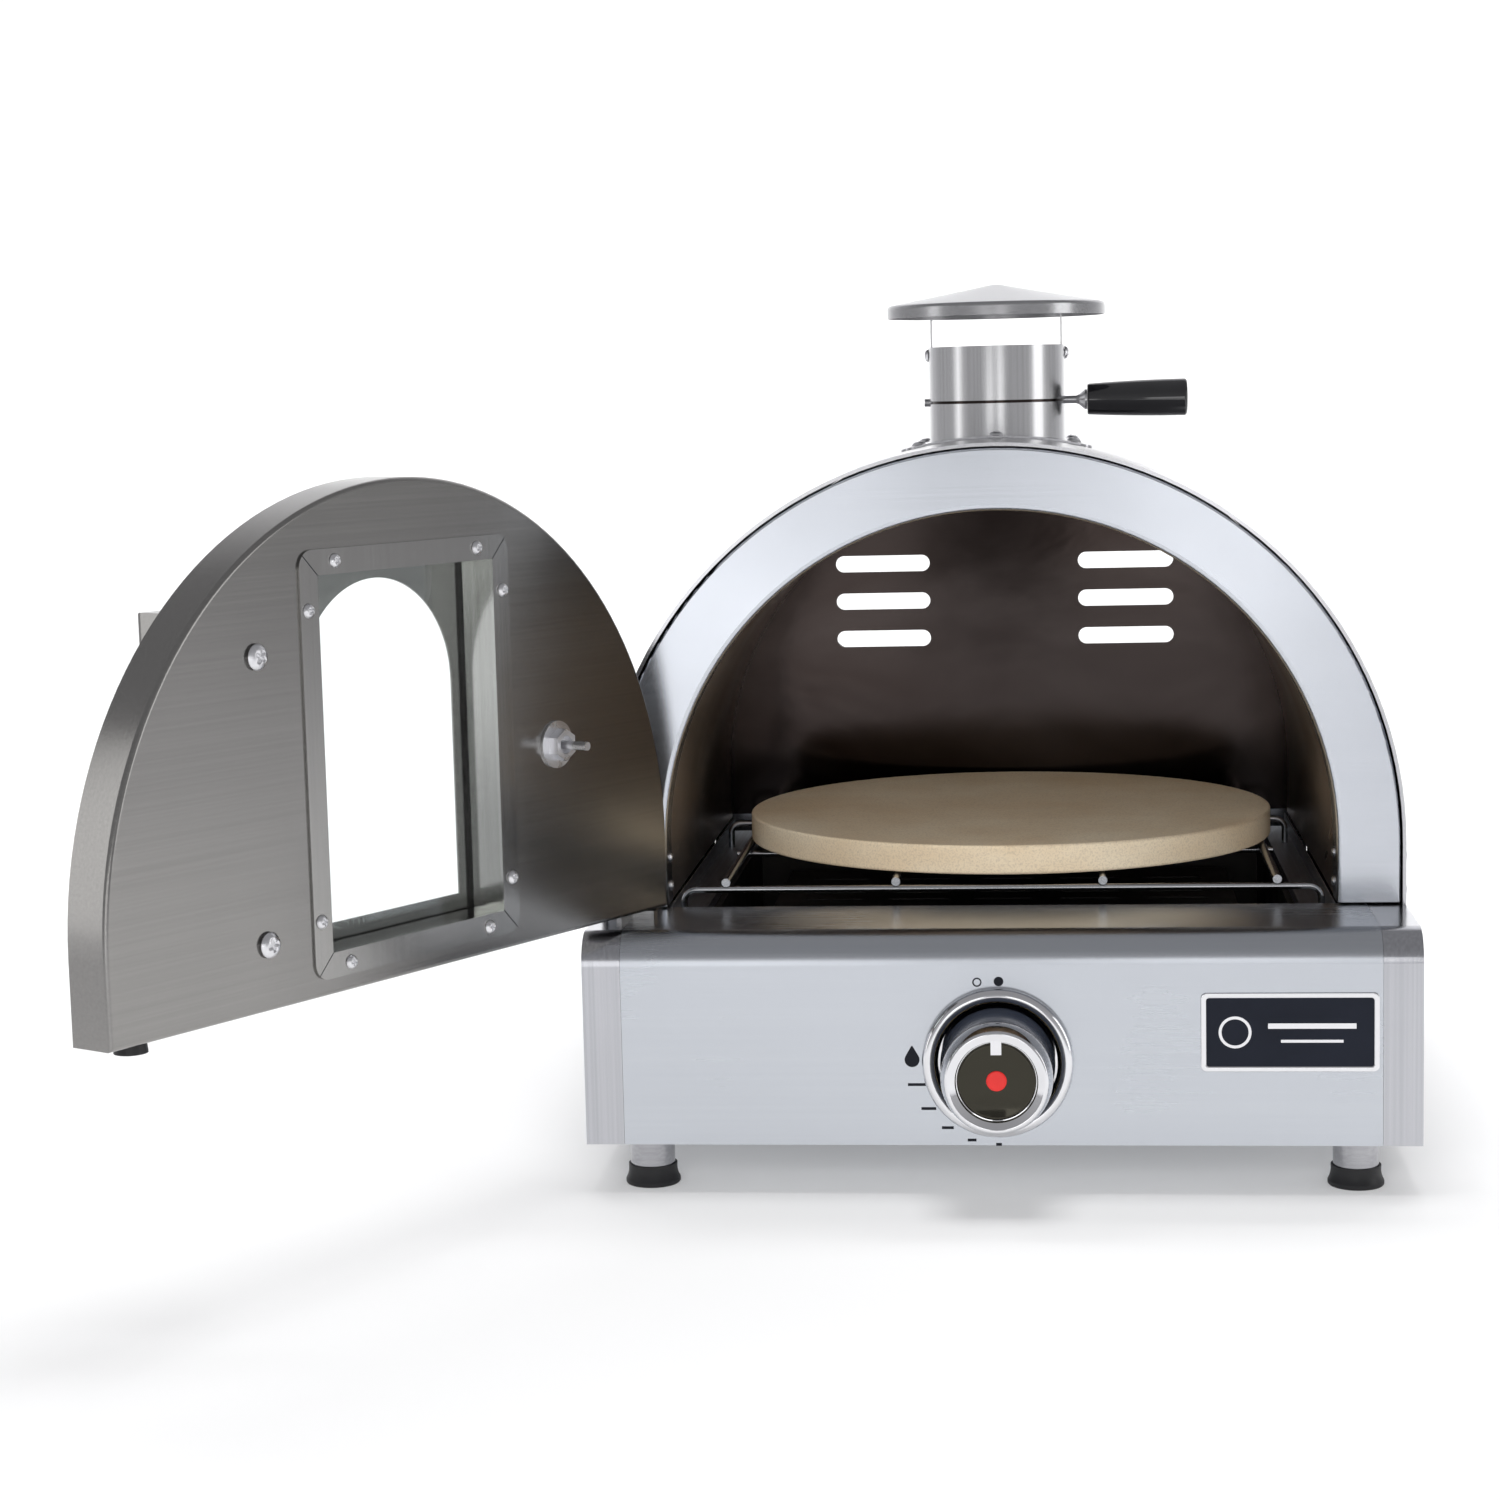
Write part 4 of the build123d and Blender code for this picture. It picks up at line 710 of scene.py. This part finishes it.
def cyclorama():
    """Pale floor that turns up into a backdrop behind the oven, dimmer where only reflections see it."""
    profile = [(FLOOR_FRONT, 0.0), (FLOOR_BACK, 0.0)]
    for angle in map(radians, range(6, 91, 6)):
        profile.append((FLOOR_BACK + COVE_R * sin(angle), COVE_R - COVE_R * cos(angle)))
    profile.append((FLOOR_BACK + COVE_R, BACKDROP_TOP))
    shape = bmesh.new()
    rows = [[shape.verts.new((x, y, z)) for x in (-FLOOR_HALF, FLOOR_HALF)] for y, z in profile]
    for first, second in zip(rows, rows[1:]):
        shape.faces.new((first[0], first[1], second[1], second[0])).smooth = True
    made = bpy.data.meshes.new("studio_floor")
    shape.to_mesh(made)
    shape.free()
    floor = bpy.data.objects.new("studio_floor", made)
    bpy.context.scene.collection.objects.link(floor)
    paper, tree, bsdf = shader("studio_paper", PAPER_PALE, 0.9)
    place = tree.nodes.new("ShaderNodeTexCoord")
    split = tree.nodes.new("ShaderNodeSeparateXYZ")
    tree.links.new(place.outputs["Object"], split.inputs["Vector"])
    away = arithmetic(tree, "ABSOLUTE", split.outputs["X"])
    back = arithmetic(tree, "MULTIPLY", split.outputs["Y"], 0.2)
    sides = ranged(tree, arithmetic(tree, "SUBTRACT", away, back), 0.0, 1.0, 0.75, 1.7)
    front = ranged(tree, split.outputs["Y"], 1.0, 0.0, -1.40, -0.72)
    above = ranged(tree, split.outputs["Z"], 0.0, 1.0, 1.12, 1.55)
    fade = arithmetic(tree, "MAXIMUM", sides, arithmetic(tree, "MAXIMUM", front, above))
    tree.links.new(mixed(tree, fade, PAPER_PALE, PAPER_DIM), bsdf.inputs["Base Color"])
    tree.links.new(mixed(tree, fade, GLOW_PALE, GLOW_DIM), bsdf.inputs["Emission Color"])
    bsdf.inputs["Emission Strength"].default_value = GLOW
    made.materials.append(paper)


def softbox(name, place, target, width, height, radiance, mirrored=True):
    """Soft rectangular light whose face has a given brightness; reflections don't show an unmirrored one."""
    lamp = bpy.data.lights.new(name, "AREA")
    lamp.shape = "RECTANGLE"
    lamp.size, lamp.size_y = width, height
    lamp.energy = radiance * pi * width * height
    held = bpy.data.objects.new(name, lamp)
    held.location = place
    held.rotation_euler = (Vector(target) - Vector(place)).to_track_quat("-Z", "Y").to_euler()
    held.visible_camera = False
    held.visible_glossy = mirrored
    bpy.context.scene.collection.objects.link(held)


def surroundings():
    """A studio that is pale low down and grey overhead."""
    world = bpy.data.worlds.new("studio")
    bpy.context.scene.world = world
    world.use_nodes = True
    tree = world.node_tree
    way = tree.nodes.new("ShaderNodeTexCoord")
    split = tree.nodes.new("ShaderNodeSeparateXYZ")
    tree.links.new(way.outputs["Generated"], split.inputs["Vector"])
    height = ranged(tree, split.outputs["Z"], 0.0, 1.0, 0.0, 0.6)
    shade = mixed(tree, height, (0.44, 0.44, 0.45), (0.30, 0.30, 0.31))
    tree.links.new(shade, tree.nodes["Background"].inputs["Color"])
    tree.nodes["Background"].inputs["Strength"].default_value = 1.0


cyclorama()
surroundings()
bpy.context.scene.view_settings.view_transform = "Standard"
softbox("front_left_light", (-0.44, -2.3, 0.20), (0, 0, 0.3), 0.55, 0.56, 1.28)
softbox("front_right_light", (0.27, -2.3, 0.32), (0, 0, 0.3), 0.42, 0.44, 1.45)
softbox("left_light", (-2.2, -0.9, 0.7), (0, 0, 0.35), 0.5, 1.4, 1.15)
softbox("right_light", (2.3, -0.60, 0.7), (0, 0, 0.35), 0.9, 1.4, 1.35)
softbox("top_light", (0, -0.2, 2.6), (0, 0, 0.3), 1.0, 0.8, 9.0, mirrored=False)
softbox("front_fill", (0, -2.4, 0.8), (0, 0, 0.2), 1.6, 1.0, 5.4, mirrored=False)
softbox("backdrop_light", (0, 1.0, 3.0), (0, 3.2, 0.8), 4.0, 0.8, 10.5, mirrored=False)

eye = bpy.data.cameras.new("camera")
eye.lens, eye.sensor_width = 69.79, 36.0
camera = bpy.data.objects.new("camera", eye)
camera.location = (0.03145, -1.8325, 0.45194)
camera.rotation_euler = (radians(82.92), radians(1.397), radians(5.779))
bpy.context.scene.collection.objects.link(camera)
bpy.context.scene.camera = camera
